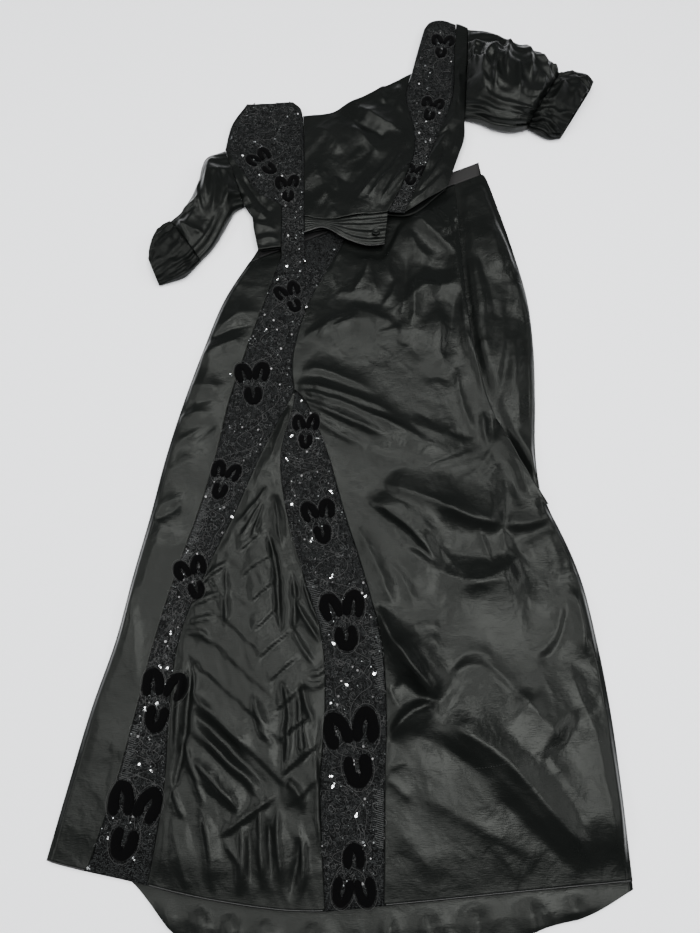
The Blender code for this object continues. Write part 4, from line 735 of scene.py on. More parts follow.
def skirt_seam(name):
    """A seam's points from the waistband to the hem, or from the star point on."""
    top = where(waist_y, name, WAISTBAND)
    bottom = where(hem_y, name)
    if name in ("band_b_left", "band_b_right"):
        y = np.linspace(STAR[1], bottom, SKIRT_ROWS - STAR_ROW + 1)
        points = np.stack([seam_x[name](y), y], axis=-1)
        offset = STAR_INSET if name == "band_b_left" else STAR_INSET + STAR_BAND
        leave = np.exp(-np.arange(len(y)) / STAR_LEAVES)
        points[:, 0] += (STAR[0] + offset - points[0, 0]) * leave
        return points
    if name == "band_a_right":
        y = np.concatenate([np.linspace(top, STAR[1], STAR_ROW + 1),
                            np.linspace(STAR[1], bottom, SKIRT_ROWS - STAR_ROW + 1)[1:]])
    else:
        y = np.linspace(top, bottom, SKIRT_ROWS + 1)
    points = np.stack([seam_x[name](y), y], axis=-1)
    if name == "band_a_right":
        rows = np.arange(len(y)) - STAR_ROW
        points[:, 0] += (STAR[0] - points[STAR_ROW, 0]) * np.exp(-(rows / STAR_MEETS) ** 2)
    return points


def coons(left, right, top=None, bottom=None, columns=4):
    """A grid of rows between two seams, with optional curved ends."""
    u = np.linspace(0.0, 1.0, columns + 1)[None, :, None]
    v = np.linspace(0.0, 1.0, len(left))[:, None, None]
    grid = left[:, None, :] * (1 - u) + right[:, None, :] * u
    first, last = grid[0].copy(), grid[-1].copy()
    if top is not None:
        grid = grid + (top - first)[None] * (1 - v)
    if bottom is not None:
        grid = grid + (bottom - last)[None] * v
    return grid


def pull_in(grid):
    """Each edge stays a little back from its seam line."""
    pulled = grid.copy()
    for edge, inner in (((slice(None), 0), (slice(None), 1)),
                        ((slice(None), -1), (slice(None), -2)),
                        ((0, slice(None)), (1, slice(None))),
                        ((-1, slice(None)), (-2, slice(None)))):
        step = grid[inner] - grid[edge]
        length = np.linalg.norm(step, axis=-1, keepdims=True)
        pulled[edge] += step / np.maximum(length, 1e-9) * SEAM_PULL
    return pulled


def skirt_settle(x, y):
    """From 0 to 1, how freely the skirt front folds at a point."""
    settle = smoothstep(*FOLDS_BEGIN, bodice_edge_y(x) - y)
    near_edge = smoothstep(0.0, EDGE_SETTLES, x - seam_x["outline_left"](y))
    near_hem = HEM_FOLD_SHARE + (1.0 - HEM_FOLD_SHARE) * smoothstep(0.0, HEM_SETTLES, y - hem_y(x))
    return settle * near_edge * near_hem


def wander(x, y):
    """Points moved a little, so that no fold runs quite evenly."""
    return (x + WANDER * (layered(x, y, WANDER_ACROSS) - 0.75),
            y + WANDER * (layered(x, y, WANDER_DOWN) - 0.75))


def soft_floor(value, over=0.0012):
    """The value where it is above zero, with a rounded bend to zero below."""
    return 0.5 * (value + np.sqrt(value * value + over * over))


def turned(x, y, turn):
    """The same points on axes turned by an angle."""
    return (x * math.cos(turn) + y * math.sin(turn), y * math.cos(turn) - x * math.sin(turn))


def unevenness(x, y):
    """Soft hollows all over the cloth, and fine sharp creases that cross them."""
    bend, size = CREASE_BEND
    bent_x = x + bend * noise(x, y, size, 24)
    bent_y = y + bend * noise(x, y, size, 25)
    crease = np.zeros_like(x)
    for turn, size, seed in CREASES:
        u, v = turned(bent_x, bent_y, turn)
        sharp = np.abs(noise(u * CREASE_RUN, v, size, seed) - 0.5) * 2.0
        crease += np.exp(-sharp / CREASE_WIDTH)
    return layered(x, y, HOLLOWS) + CREASE_HEIGHT * crease


def plaits(x, y):
    """Strips that rise to their lower edge and drop there, crossing at the inset's middle."""
    def strips(side, phase):
        across = side * x * math.sin(PLAIT_TURN) + y * math.cos(PLAIT_TURN)
        share = (across / PLAIT_WIDTH + phase) % 1.0
        return (1.0 - share) * smoothstep(0.0, PLAIT_EDGE, share)

    off = x - plait_middle(y)
    falling = strips(1.0, 0.0) * smoothstep(*PLAIT_CROSSES, -off)
    falling = falling * smoothstep(*PLAIT_LEFT, x - seam_x["band_a_right"](y))
    rising = strips(-1.0, 0.5) * smoothstep(*PLAIT_CROSSES, off) * smoothstep(*PLAIT_RIGHT, off)
    ends = smoothstep(*PLAIT_TOP, y) * smoothstep(*PLAIT_BOTTOM, y)
    return PLAIT_RISE * np.maximum(falling, PLAIT_STEEPER * rising) * ends


def skirt_rise(x, y, fine=1.0):
    """Height of the skirt front's folds, with fine as the share of the sharper ones."""
    wx, wy = wander(x, y)
    rise = PLATEAU + BROAD_SHARE * fold_field(BROAD_FORMS, wx, wy) + unevenness(x, y)
    rise = rise + fine * (fold_field(SKIRT_RIDGES, wx, wy) - fold_field(SKIRT_TROUGHS, wx, wy))
    inside = (smoothstep(0.0, INSET_EDGE, x - seam_x["band_a_right"](y))
              * smoothstep(0.0, INSET_EDGE, seam_x["band_b_left"](y) - x))
    inside = inside * smoothstep(STAR[1], STAR[1] - INSET_BEGINS, y)
    ripple = layered(wx + INSET_SLANT * wy, wy * RIPPLE_RUN, RIPPLE)
    rise = rise + (ripple + plaits(wx, wy)) * inside
    pleats = (fold_field(INSET_RIDGES, wx, wy, PLEAT_WIDTH)
              - fold_field(INSET_TROUGHS, wx, wy, PLEAT_WIDTH))
    return rise + fine * PLEAT_HEIGHT * pleats


def skirt_low(x, y):
    return BACK + GAP + soft_floor(skirt_rise(x, y)) * skirt_settle(x, y)


def net_low(x, y):
    """Beaded net is stiffer: away from its seams it keeps only a part of the folds."""
    from_a, from_b = (np.minimum(np.abs(x - seam_x[band + "_left"](y)),
                                 np.abs(x - seam_x[band + "_right"](y)))
                      for band in ("band_a", "band_b"))
    from_edge = np.where(y < STAR[1], np.minimum(from_a, from_b), from_a)
    fine = 1.0 - NET_STIFFNESS * smoothstep(0.0, NET_EDGE, from_edge)
    return BACK + GAP + soft_floor(skirt_rise(x, y, fine)) * skirt_settle(x, y)


def drape_low(x, y):
    """The drape's right edge lies free over the side panel, and lower down it is the outline."""
    edge = seam_x["drape_right"](y)
    overlap = smoothstep(*DRAPE_FREE, y)
    lift = DRAPE_LIFT * smoothstep(*DRAPE_RISES, x - edge) * overlap
    outline = 1.0 - (1.0 - smoothstep(0.0, EDGE_SETTLES, edge - x)) * (1.0 - overlap)
    return BACK + GAP + (skirt_low(x, y) - BACK - GAP) * outline + lift


def side_low(x, y):
    """The side panel lies flat where the drape covers it."""
    hidden = smoothstep(*SIDE_FOLDS_BEGIN, x - seam_x["drape_right"](y))
    edge = smoothstep(0.0, EDGE_SETTLES, seam_x["outline_right"](y) - x)
    return BACK + GAP + (skirt_low(x, y) - BACK - GAP) * hidden * edge


def back_low(x, y):
    """The back lies flat below the front and in soft folds where the train comes out."""
    past_hem = smoothstep(*TRAIN_BEGINS, hem_y(x) - y)
    rise = fold_field(TRAIN_RIDGES, *wander(x, y)) * TRAIN_FOLD_HEIGHT + unevenness(x, y)
    return ON_FLOOR + rise * past_hem


def bodice_back_low(x, y):
    """Up on the skirt, and down to the floor past its waist and sides."""
    ramp = (RAMP_BEGINS, RAMP_BEGINS + WAIST_RAMP)
    above = smoothstep(*ramp, y - waist_y(x))
    past_left = smoothstep(*ramp, seam_x["outline_left"](y) - x)
    past_right = smoothstep(*ramp, x - seam_x["outline_right"](y))
    over_skirt = 1.0 - np.maximum(above, np.maximum(past_left, past_right))
    return BODICE_OVER_SKIRT * over_skirt


def bodice_low(x, y, fine=1.0):
    base = bodice_back_low(x, y) + BACK + BODICE_CLEAR
    centre = np.exp(-((x - BODICE_CENTRE[0]) / BODICE_SPREAD[0]) ** 2
                    - ((y - BODICE_CENTRE[1]) / BODICE_SPREAD[1]) ** 2)
    wx, wy = wander(x, y)
    folds = fold_field(BODICE_RIDGES, wx, wy) - fold_field(BODICE_TROUGHS, wx, wy)
    u, v = turned(wx, wy, GATHERS_RUN)
    crinkle = layered(u * CRINKLE_RUN, v, CRINKLE)
    rise = BODICE_PLATEAU + unevenness(x, y) + crinkle * fine + BODICE_FOLD_HEIGHT * fine * folds
    return base + BODICE_PUFF * centre + soft_floor(rise)


def bodice_net_low(x, y):
    return bodice_low(x, y, BODICE_NET_FOLDS)


def sash_low(x, y):
    """Gathers along the sash, deepest at its free end."""
    top = sash_top_y(x)
    share = (top - y) / (top - sash_bottom_y(x))
    count = SASH_GATHERS["count"] + SASH_GATHERS["uneven"] * noise(x, y, 0.04, 31)
    wave = 0.5 - 0.5 * np.cos(2.0 * math.pi * count * share)
    fade = smoothstep(SASH_GATHERS["begin"], SASH_GATHERS["full"], x)
    fade = SASH_GATHERS["flat_end"] + (1.0 - SASH_GATHERS["flat_end"]) * fade
    edge = np.sin(math.pi * np.clip(share, 0.0, 1.0)) ** SASH_ROUND
    return bodice_net_low(x, y) + (SASH_GATHERS["height"] * wave * fade + SASH_HUMP) * edge


def strip_low(x, y):
    """The lace strip lies over the skirt, and its end sinks into the beaded net."""
    past = smoothstep(*STRIP_SETTLES, bodice_edge_y(x) - y)
    flush = 1.0 - smoothstep(0.0, STRIP_SINKS, y - STRIP_END)
    over_satin = skirt_low(x, y) + SATIN + 2.0 * GAP
    on_skirt = over_satin * (1.0 - flush) + (net_low(x, y) + 0.0001) * flush
    return bodice_net_low(x, y) * (1.0 - past) + on_skirt * past


def simple_material(name, colour, roughness, **more):
    """A principled shader and its node tree, for the finishes below to add to."""
    made = bpy.data.materials.new(name)
    made.use_nodes = True
    shader = made.node_tree.nodes["Principled BSDF"]
    shader.inputs["Base Color"].default_value = (*colour, 1.0)
    shader.inputs["Roughness"].default_value = roughness
    for socket, value in more.items():
        shader.inputs[socket.replace("_", " ")].default_value = value
    return made, shader, made.node_tree


def texture(tree, kind, scale, stretch=(1.0, 1.0, 1.0), turn=0.0, **more):
    """A procedural texture over the object's own coordinates, in metres."""
    place = tree.nodes.new("ShaderNodeTexCoord")
    mapping = tree.nodes.new("ShaderNodeMapping")
    mapping.inputs["Scale"].default_value = stretch
    mapping.inputs["Rotation"].default_value = (0.0, 0.0, turn)
    made = tree.nodes.new(kind)
    made.inputs["Scale"].default_value = scale
    for socket, value in more.items():
        made.inputs[socket].default_value = value
    tree.links.new(place.outputs["Object"], mapping.inputs["Vector"])
    tree.links.new(mapping.outputs["Vector"], made.inputs["Vector"])
    return made


def noise_texture(tree, scale, **more):
    return texture(tree, "ShaderNodeTexNoise", scale, **more).outputs["Fac"]


def ramp(tree, source, low, high, from_low=0.0, from_high=1.0):
    """A value stretched from one range to another."""
    made = tree.nodes.new("ShaderNodeMapRange")
    made.inputs["From Min"].default_value = from_low
    made.inputs["From Max"].default_value = from_high
    made.inputs["To Min"].default_value = low
    made.inputs["To Max"].default_value = high
    tree.links.new(source, made.inputs["Value"])
    return made.outputs["Result"]


def bump(tree, shader, source, strength, distance, before=None):
    """Relief from a value, over the one that was made before it."""
    made = tree.nodes.new("ShaderNodeBump")
    made.inputs["Strength"].default_value = strength
    made.inputs["Distance"].default_value = distance
    tree.links.new(source, made.inputs["Height"])
    if before is not None:
        tree.links.new(before.outputs["Normal"], made.inputs["Normal"])
    tree.links.new(made.outputs["Normal"], shader.inputs["Normal"])
    return made


def mix_colours(tree, share, low, high, target):
    made = tree.nodes.new("ShaderNodeMix")
    made.data_type = "RGBA"
    made.inputs["A"].default_value = (*low, 1.0)
    made.inputs["B"].default_value = (*high, 1.0)
    tree.links.new(share, made.inputs["Factor"])
    tree.links.new(made.outputs["Result"], target)


def satin_finish(name, colour, roughness, specular):
    """Glossy satin: fine weave, small crumples, and a sheen that varies over the cloth."""
    made, shader, tree = simple_material(name, colour, roughness, IOR=1.5, Anisotropic=0.25,
                                         Specular_IOR_Level=specular,
                                         Specular_Tint=(0.965, 1.0, 0.94, 1.0))
    cloud = noise_texture(tree, 14.0, Detail=4.0)
    tree.links.new(ramp(tree, cloud, roughness - 0.07, roughness + 0.09, 0.3, 0.7),
                   shader.inputs["Roughness"])
    swell = noise_texture(tree, 11.0, Detail=1.0)
    crumple = noise_texture(tree, 44.0, Detail=2.6, Roughness=0.5, Distortion=0.25)
    weave = noise_texture(tree, 700.0, stretch=(0.22, 1.0, 1.0), Detail=2.0)
    relief = None
    for source, strength, distance in ((swell, 0.5, 0.0040), (crumple, 0.5, 0.0026),
                                       (weave, 0.30, 0.0006)):
        relief = bump(tree, shader, source, strength, distance, relief)
    return made


def net_finish(name, colour):
    """Matt net: a fine mesh with close winding thread work."""
    made, shader, tree = simple_material(name, colour, 0.60, IOR=1.45, Specular_IOR_Level=0.035)
    scroll = noise_texture(tree, 260.0, Detail=2.0, Distortion=2.5)
    rows = texture(tree, "ShaderNodeTexWave", 190.0, turn=math.radians(78), Distortion=7.0)
    both = tree.nodes.new("ShaderNodeMath")
    both.operation = "MULTIPLY"
    tree.links.new(ramp(tree, scroll, 0.06, 1.0, 0.45, 0.57), both.inputs[0])
    tree.links.new(ramp(tree, rows.outputs["Fac"], 0.25, 1.0, 0.3, 0.8), both.inputs[1])
    lines = both.outputs["Value"]
    between, thread = (tuple(c * share for c in colour) for share in (0.15, 17.0))
    mix_colours(tree, lines, between, thread, shader.inputs["Base Color"])
    first = bump(tree, shader, lines, 0.55, 0.0009)
    mesh = texture(tree, "ShaderNodeTexVoronoi", 1100.0)
    bump(tree, shader, mesh.outputs["Distance"], 0.35, 0.0005, first)
    return made


def velvet_finish(name, colour):
    """Matt velvet with a fine grain of pile."""
    made, shader, tree = simple_material(name, colour, 0.9, IOR=1.35, Specular_IOR_Level=0.05,
                                         Sheen_Weight=0.03, Sheen_Roughness=0.45)
    bump(tree, shader, noise_texture(tree, 1500.0, Detail=2.0), 0.5, 0.0005)
    return made


WAISTBAND_TURNS = (0.148, 0.152)


def waistband_finish(name, face, facing):
    """Black outside; its dark grey facing shows at the right end."""
    made, shader, tree = simple_material(name, face, 0.6, Specular_IOR_Level=0.1)
    weave = noise_texture(tree, 1300.0, stretch=(1.0, 0.3, 1.0), Detail=2.0)
    place = tree.nodes.new("ShaderNodeTexCoord")
    split = tree.nodes.new("ShaderNodeSeparateXYZ")
    tree.links.new(place.outputs["Object"], split.inputs["Vector"])
    right_end = ramp(tree, split.outputs["X"], 0.0, 1.0, *WAISTBAND_TURNS)
    mix_colours(tree, right_end, face, facing, shader.inputs["Base Color"])
    bump(tree, shader, weave, 0.3, 0.0005)
    return made


def plain_finish(name, colour, roughness, metallic=0.0, scale=600.0):
    """One colour, with a roughness that varies a little."""
    made, shader, tree = simple_material(name, colour, roughness, Metallic=metallic)
    grain = noise_texture(tree, scale, Detail=2.0)
    tree.links.new(ramp(tree, grain, roughness * 0.85, min(1.0, roughness * 1.2)),
                   shader.inputs["Roughness"])
    return made


SATIN_FINISH = satin_finish("black_satin", (0.0034, 0.0039, 0.0036), 0.30, 0.125)
LINING_FINISH = satin_finish("dull_satin", (0.0030, 0.0034, 0.0032), 0.40, 0.075)
NET_FINISH = net_finish("beaded_net", (0.0015, 0.0016, 0.0016))
VELVET_FINISH = velvet_finish("black_velvet", (0.0012, 0.0012, 0.0013))
BAND_FINISH = waistband_finish("waistband_cotton", (0.005, 0.005, 0.005), (0.0165, 0.0162, 0.0160))
THREAD_FINISH = plain_finish("thread", (0.010, 0.0105, 0.010), 0.5)
PALE_THREAD_FINISH = plain_finish("grey_thread", (0.040, 0.043, 0.042), 0.5)
DIM_SEQUIN_FINISH = plain_finish("dim_sequin", (0.16, 0.17, 0.17), 0.32, 1.0, 300.0)
SEQUIN_FINISH = plain_finish("sequin", (0.80, 0.82, 0.82), 0.12, 1.0, 300.0)
BEAD_FINISH = plain_finish("black_bead", (0.004, 0.004, 0.004), 0.08)
FLOOR_FINISH = plain_finish("pale_floor", (0.955, 0.965, 0.99), 0.85)

# Thickness, finish and slot of each cloth
AS_SATIN = (SATIN, SATIN_FINISH, "satin")
AS_BACK = (BACK, SATIN_FINISH, "satin")
AS_LINING = (BACK, LINING_FINISH, "satin")
AS_NET = (NET, NET_FINISH, "net")
AS_WAISTBAND = (SATIN, BAND_FINISH, "waistband")


def mesh_object(name, vertices, faces, finish):
    faces = np.asarray(faces, dtype=np.int32)
    count, sides = faces.shape
    mesh = bpy.data.meshes.new(name)
    mesh.vertices.add(len(vertices))
    mesh.vertices.foreach_set("co", np.asarray(vertices, dtype=np.float32).ravel())
    mesh.loops.add(count * sides)
    mesh.loops.foreach_set("vertex_index", faces.ravel())
    mesh.polygons.add(count)
    mesh.polygons.foreach_set("loop_start", np.arange(0, count * sides, sides, dtype=np.int32))
    mesh.update(calc_edges=True)
    mesh.materials.append(finish)
    mesh.shade_smooth()
    made = bpy.data.objects.new(name, mesh)
    bpy.context.scene.collection.objects.link(made)
    return made


def wall_faces(rows, columns):
    """Faces of a thin closed wall between two grids of points, the lower one first."""
    index = np.arange((rows + 1) * (columns + 1)).reshape(rows + 1, columns + 1)
    quads = np.stack([index[:-1, :-1], index[1:, :-1], index[1:, 1:], index[:-1, 1:]], axis=-1)
    quads = quads.reshape(-1, 4)
    rim = np.concatenate([index[0, :-1], index[:-1, -1], index[-1, :0:-1], index[:0:-1, 0]])
    after = np.roll(rim, -1)
    sides = np.stack([rim, rim + index.size, after + index.size, after], axis=-1)
    return np.concatenate([quads + index.size, quads[:, ::-1], sides])


def outward(vertices, faces):
    """The faces, turned round if they look inwards."""
    a, b, c, d = (vertices[faces[:, k]] for k in range(4))
    volume = (np.cross(a, b) * c).sum() + (np.cross(a, c) * d).sum()
    return faces if volume >= 0.0 else faces[:, ::-1]


# Cloth that its folds take up, along and across
FULLNESS = dict(laid=1.04, folded=1.12, draped=1.12, gathered=1.15)
ROUND_FULLNESS = 1.1


def shell(name, grid, low, cloth, held):
    """A closed thin cloth on a grid: its face lies a wall's thickness over low(x, y)."""
    thickness, finish, slot = cloth
    grid = pull_in(grid)
    x = grid[..., 0].ravel()
    y = grid[..., 1].ravel()
    top = low(x, y) + thickness
    vertices = np.concatenate([np.stack([x, y, z], axis=-1) for z in (top - SHELL, top)])
    made = mesh_object(name.replace("skirt_", "cloth_").replace("bodice_", "cloth_bodice_"),
                       vertices, wall_faces(grid.shape[0] - 1, grid.shape[1] - 1), finish)
    finish_sheet(made, name, plan_sizes(grid), FULLNESS[held])


def plan_sizes(grid):
    """Greatest width, length and area of a grid as it lies."""
    widths = np.linalg.norm(np.diff(grid, axis=1), axis=-1).sum(axis=1)
    lengths = np.linalg.norm(np.diff(grid, axis=0), axis=-1).sum(axis=0)
    a = grid[1:, 1:] - grid[:-1, :-1]
    b = grid[1:, :-1] - grid[:-1, 1:]
    area = np.abs(a[..., 0] * b[..., 1] - a[..., 1] * b[..., 0]).sum() / 2
    return widths.max(), lengths.max(), area


def finish_sheet(made, node, sizes, fullness):
    """Where a sheet rides and which solid it replaces; how large it was cut is worked out but not
    kept.
    """
    width, length, area = sizes
    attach(made, "root")
    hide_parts(node)
    flat = (round(float(width * fullness), 3), round(float(length * fullness), 3))
    area = float(np.clip(area * fullness * fullness / (flat[0] * flat[1]), 0.301, 0.999))
    area *= flat[0] * flat[1]


def add_part(made):
    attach(made, "root")
    return made


def build_back():
    """Between the waist and the front's hem, and then the train."""
    rows = 50
    columns = 110
    train_rows = 40
    share = np.linspace(0.0, 1.0, rows + 1)
    y_left = waist_y(WAIST_LEFT) + (hem_y(HEM_LEFT) - waist_y(WAIST_LEFT)) * share
    y_right = waist_y(WAIST_RIGHT) + (hem_y(HEM_RIGHT) - waist_y(WAIST_RIGHT)) * share
    x_right = seam_x["outline_right"](y_right)
    x_right = np.where(y_right < DRAPE_MEETS_OUTLINE,
                       np.maximum(x_right, seam_x["drape_right"](y_right)), x_right)
    left = np.stack([seam_x["outline_left"](y_left), y_left], axis=-1)
    right = np.stack([x_right, y_right], axis=-1)
    grid = coons(left, right, columns=columns)
    u = np.linspace(0.0, 1.0, columns + 1)
    chord = hem_y(HEM_LEFT) + (hem_y(HEM_RIGHT) - hem_y(HEM_LEFT)) * u
    hem_x = grid[-1, :, 0]
    grid[..., 1] += (hem_y(hem_x) - chord)[None, :] * share[:, None] ** 3
    train = np.repeat(grid[-1:], train_rows, axis=0)
    reach = np.arange(1, train_rows + 1)[:, None] / train_rows
    train[..., 1] -= train_reach(train[..., 0]) * reach
    shell("skirt_back", np.concatenate([grid, train]), back_low, AS_BACK, "laid")


def build_skirt():
    seam = {name: skirt_seam(name) for name in seam_x}
    inset_left = seam["band_a_right"][STAR_ROW:]
    drape_left = np.concatenate([seam["band_a_right"][:STAR_ROW], seam["band_b_right"]])
    for name, left, right, columns, low, cloth, held in (
            ("gore_left", seam["outline_left"], seam["band_a_left"], 30,
             skirt_low, AS_SATIN, "laid"),
            ("band_left", seam["band_a_left"], seam["band_a_right"], 26, net_low, AS_NET, "laid"),
            ("inset", inset_left, seam["band_b_left"], 100, skirt_low, AS_SATIN, "folded"),
            ("band_right", seam["band_b_left"], seam["band_b_right"], 26, net_low, AS_NET, "laid"),
            ("drape", drape_left, seam["drape_right"], 145, drape_low, AS_SATIN, "draped")):
        x = np.linspace(left[-1, 0], right[-1, 0], columns + 1)
        grid = coons(left, right, bottom=np.stack([x, hem_y(x)], axis=-1), columns=columns)
        shell("skirt_" + name, grid, low, cloth, held)


SIDE_LEAST = 0.005
TOP_SLOPES = 8            # power by which the rows turn to the waist's slope near the top


def build_side():
    rows = 130
    columns = 26
    share = np.linspace(0.0, 1.0, rows + 1)
    top_left = where(waist_y, "drape_right", WAISTBAND)
    top_right = where(waist_y, "outline_right", WAISTBAND)
    y_left = top_left + (SIDE_END - top_left) * share
    y_right = top_right + (SIDE_END - top_right) * share
    hidden_x = seam_x["drape_right"](y_left) - OVERLAP
    least_x = hidden_x + OVERLAP + SIDE_LEAST
    edge_x = np.maximum(seam_x["outline_right"](y_right), least_x)
    edge_x = np.where(y_right < DRAPE_MEETS_OUTLINE, least_x, edge_x)
    grid = coons(np.stack([hidden_x, y_left], axis=-1), np.stack([edge_x, y_right], axis=-1),
                 columns=columns)
    slope = waist_y(grid[..., 0]) - WAISTBAND - grid[..., 1]
    grid[..., 1] += slope * (1.0 - share[:, None]) ** TOP_SLOPES
    shell("skirt_side_right", grid, side_low, AS_SATIN, "laid")


def build_waistband():
    rows = 8
    columns = 60
    x = np.linspace(WAIST_LEFT, WAIST_RIGHT, columns + 1)[None]
    drops = np.linspace(0.0, WAISTBAND, rows + 1)[:, None]
    grid = np.stack([x + 0.0 * drops, waist_y(x) - drops], axis=-1)

    def low(px, py):
        return BACK + GAP + 0.0006 * noise(px, py, 0.02, 41)

    shell("skirt_waistband", grid, low, AS_WAISTBAND, "laid")


def joined(*runs):
    """One seam from several runs, each of a number of equal steps."""
    parts = [along(points, steps) for points, steps in runs]
    return np.concatenate([part[:-1] for part in parts[:-1]] + [parts[-1]])


def build_bodice():
    """The back, 2 mm inside the fronts' outline, and the fronts on it."""
    back_left = along(((-0.183, 0.529), (-0.208, 0.482), (-0.2165, 0.429), (-0.197, 0.370),
                       (-0.179, 0.313), (-0.165, 0.289), (-0.159, 0.258), (-0.150, 0.220)), 60)
    back_mid_left = along(((-0.085, 0.492), (-0.080, 0.430), (-0.078, 0.312), (-0.077, 0.255)), 60)
    back_mid_right = along(((0.113, 0.595), (0.102, 0.550), (0.112, 0.480),
                            (0.112, 0.424), (0.086, 0.339), (0.064, 0.292)), 60)
    back_right = along(((0.2210, 0.714), (0.2125, 0.609), (0.204, 0.503),
                        (0.201, 0.453), (0.188, 0.415), (0.164, 0.344)), 60)
    neck = along(((-0.085, 0.492), (-0.036, 0.494), (0.010, 0.525),
                  (0.063, 0.557), (0.113, 0.595)), 24)
    back_shoulder = along(((0.113, 0.595), (0.128, 0.652), (0.143, 0.710),
                           (0.174, 0.736), (0.200, 0.725), (0.2210, 0.714)), 20)
    hem_left = along(((-0.150, 0.220), (-0.114, 0.226), (-0.077, 0.255)), 16)
    hem_middle = along(((-0.077, 0.255), (-0.047, 0.262), (0.000, 0.262), (0.064, 0.292)), 24)
    hem_right = along(((0.064, 0.292), (0.092, 0.290), (0.164, 0.344)), 20)
    grid = np.concatenate([
        coons(back_left, back_mid_left, bottom=hem_left, columns=16),
        coons(back_mid_left, back_mid_right, top=neck, bottom=hem_middle, columns=24)[:, 1:],
        coons(back_mid_right, back_right, top=back_shoulder, bottom=hem_right, columns=20)[:, 1:],
    ], axis=1)
    shell("bodice_back", grid, bodice_back_low, AS_LINING, "laid")

    strip_left = (STRIP_LEFT, 40)
    yoke_lower = (YOKE_LOWER, 60)
    shell("bodice_lace_left",
          coons(joined((YOKE_OUTER, 50), yoke_lower),
                joined((YOKE_INNER_TOP, 22), (YOKE_INNER, 88)), columns=50),
          bodice_net_low, AS_NET, "laid")
    shell("bodice_lace_strip",
          coons(joined(strip_left, (STRIP_LEFT_TAIL, 20)),
                joined((STRIP_RIGHT, 14), (STRIP_RIGHT_SASH, 16), (STRIP_RIGHT_TAIL, 30)),
                columns=20),
          strip_low, AS_NET, "laid")
    shell("bodice_side_left",
          coons(joined((ARMHOLE_LEFT, 56), (SIDE_LEFT, 44)), joined(yoke_lower, strip_left),
                columns=40),
          bodice_low, AS_SATIN, "gathered")
    shell("bodice_plastron",
          coons(joined((YOKE_INNER, 106), (STRIP_RIGHT, 14)), along(LACE_LEFT, 120),
                top=along(NECKLINE, 90), bottom=along(SASH_TOP, 90), columns=90),
          bodice_low, AS_SATIN, "gathered")
    shell("bodice_sash",
          coons(along(STRIP_RIGHT_SASH, 48), along(SASH_END, 48), top=along(SASH_TOP, 90),
                bottom=along(SASH_BOTTOM, 90), columns=90),
          sash_low, AS_SATIN, "gathered")
    shell("bodice_lace_right",
          coons(joined((LACE_LEFT_TOP, 38), (LACE_LEFT, 102)), along(LACE_RIGHT, 140),
                top=along(SHOULDER, 36), columns=36),
          bodice_net_low, AS_NET, "laid")
    shell("bodice_side_right",
          coons(along(LACE_RIGHT, 120), joined((ARMHOLE_RIGHT, 60), (SIDE_RIGHT, 60)), columns=40),
          bodice_low, AS_SATIN, "gathered")


def ring_section(angle):
    """A sleeve's section: across from -1 to 1 and up from 0 to 1, flat below."""
    cosine = np.cos(angle)
    sine = np.sin(angle)
    above = np.maximum(sine, 0.0)
    below = np.maximum(-sine, 0.0)
    level = SIDE_LEVEL + (1.0 - SIDE_LEVEL) * above ** ROUND_TOP
    under = SIDE_LEVEL * np.maximum(0.0, 1.0 - LEAVES_FLOOR * below ** ROUND_RISE_BELOW)
    power = np.where(sine >= 0.0, ROUND_SIDE, ROUND_SIDE_BELOW)
    side = np.sign(cosine) * np.abs(cosine) ** power
    return side, np.where(sine >= 0.0, level, under)


TUBE_LIFT = 0.0002
SLEEVE_FOLD_HEIGHT = 2.6
SLEEVE_FOLDS_ON = (0.45, 0.85)      # heights, as shares, between which the folds begin
SLEEVE_ENDS = 0.06                  # share of the length in which they fade
GATHERS_ON = (0.12, 0.5)
CRUMPLES_ON = (0.3, 0.7)
GATHERS_DRIFT = (1.6, 0.045)
GATHERS_STRENGTH = (0.35, 1.3, 0.035)
GATHERS_MIDDLE = 0.35               # depth of the gathers half way, against the ends


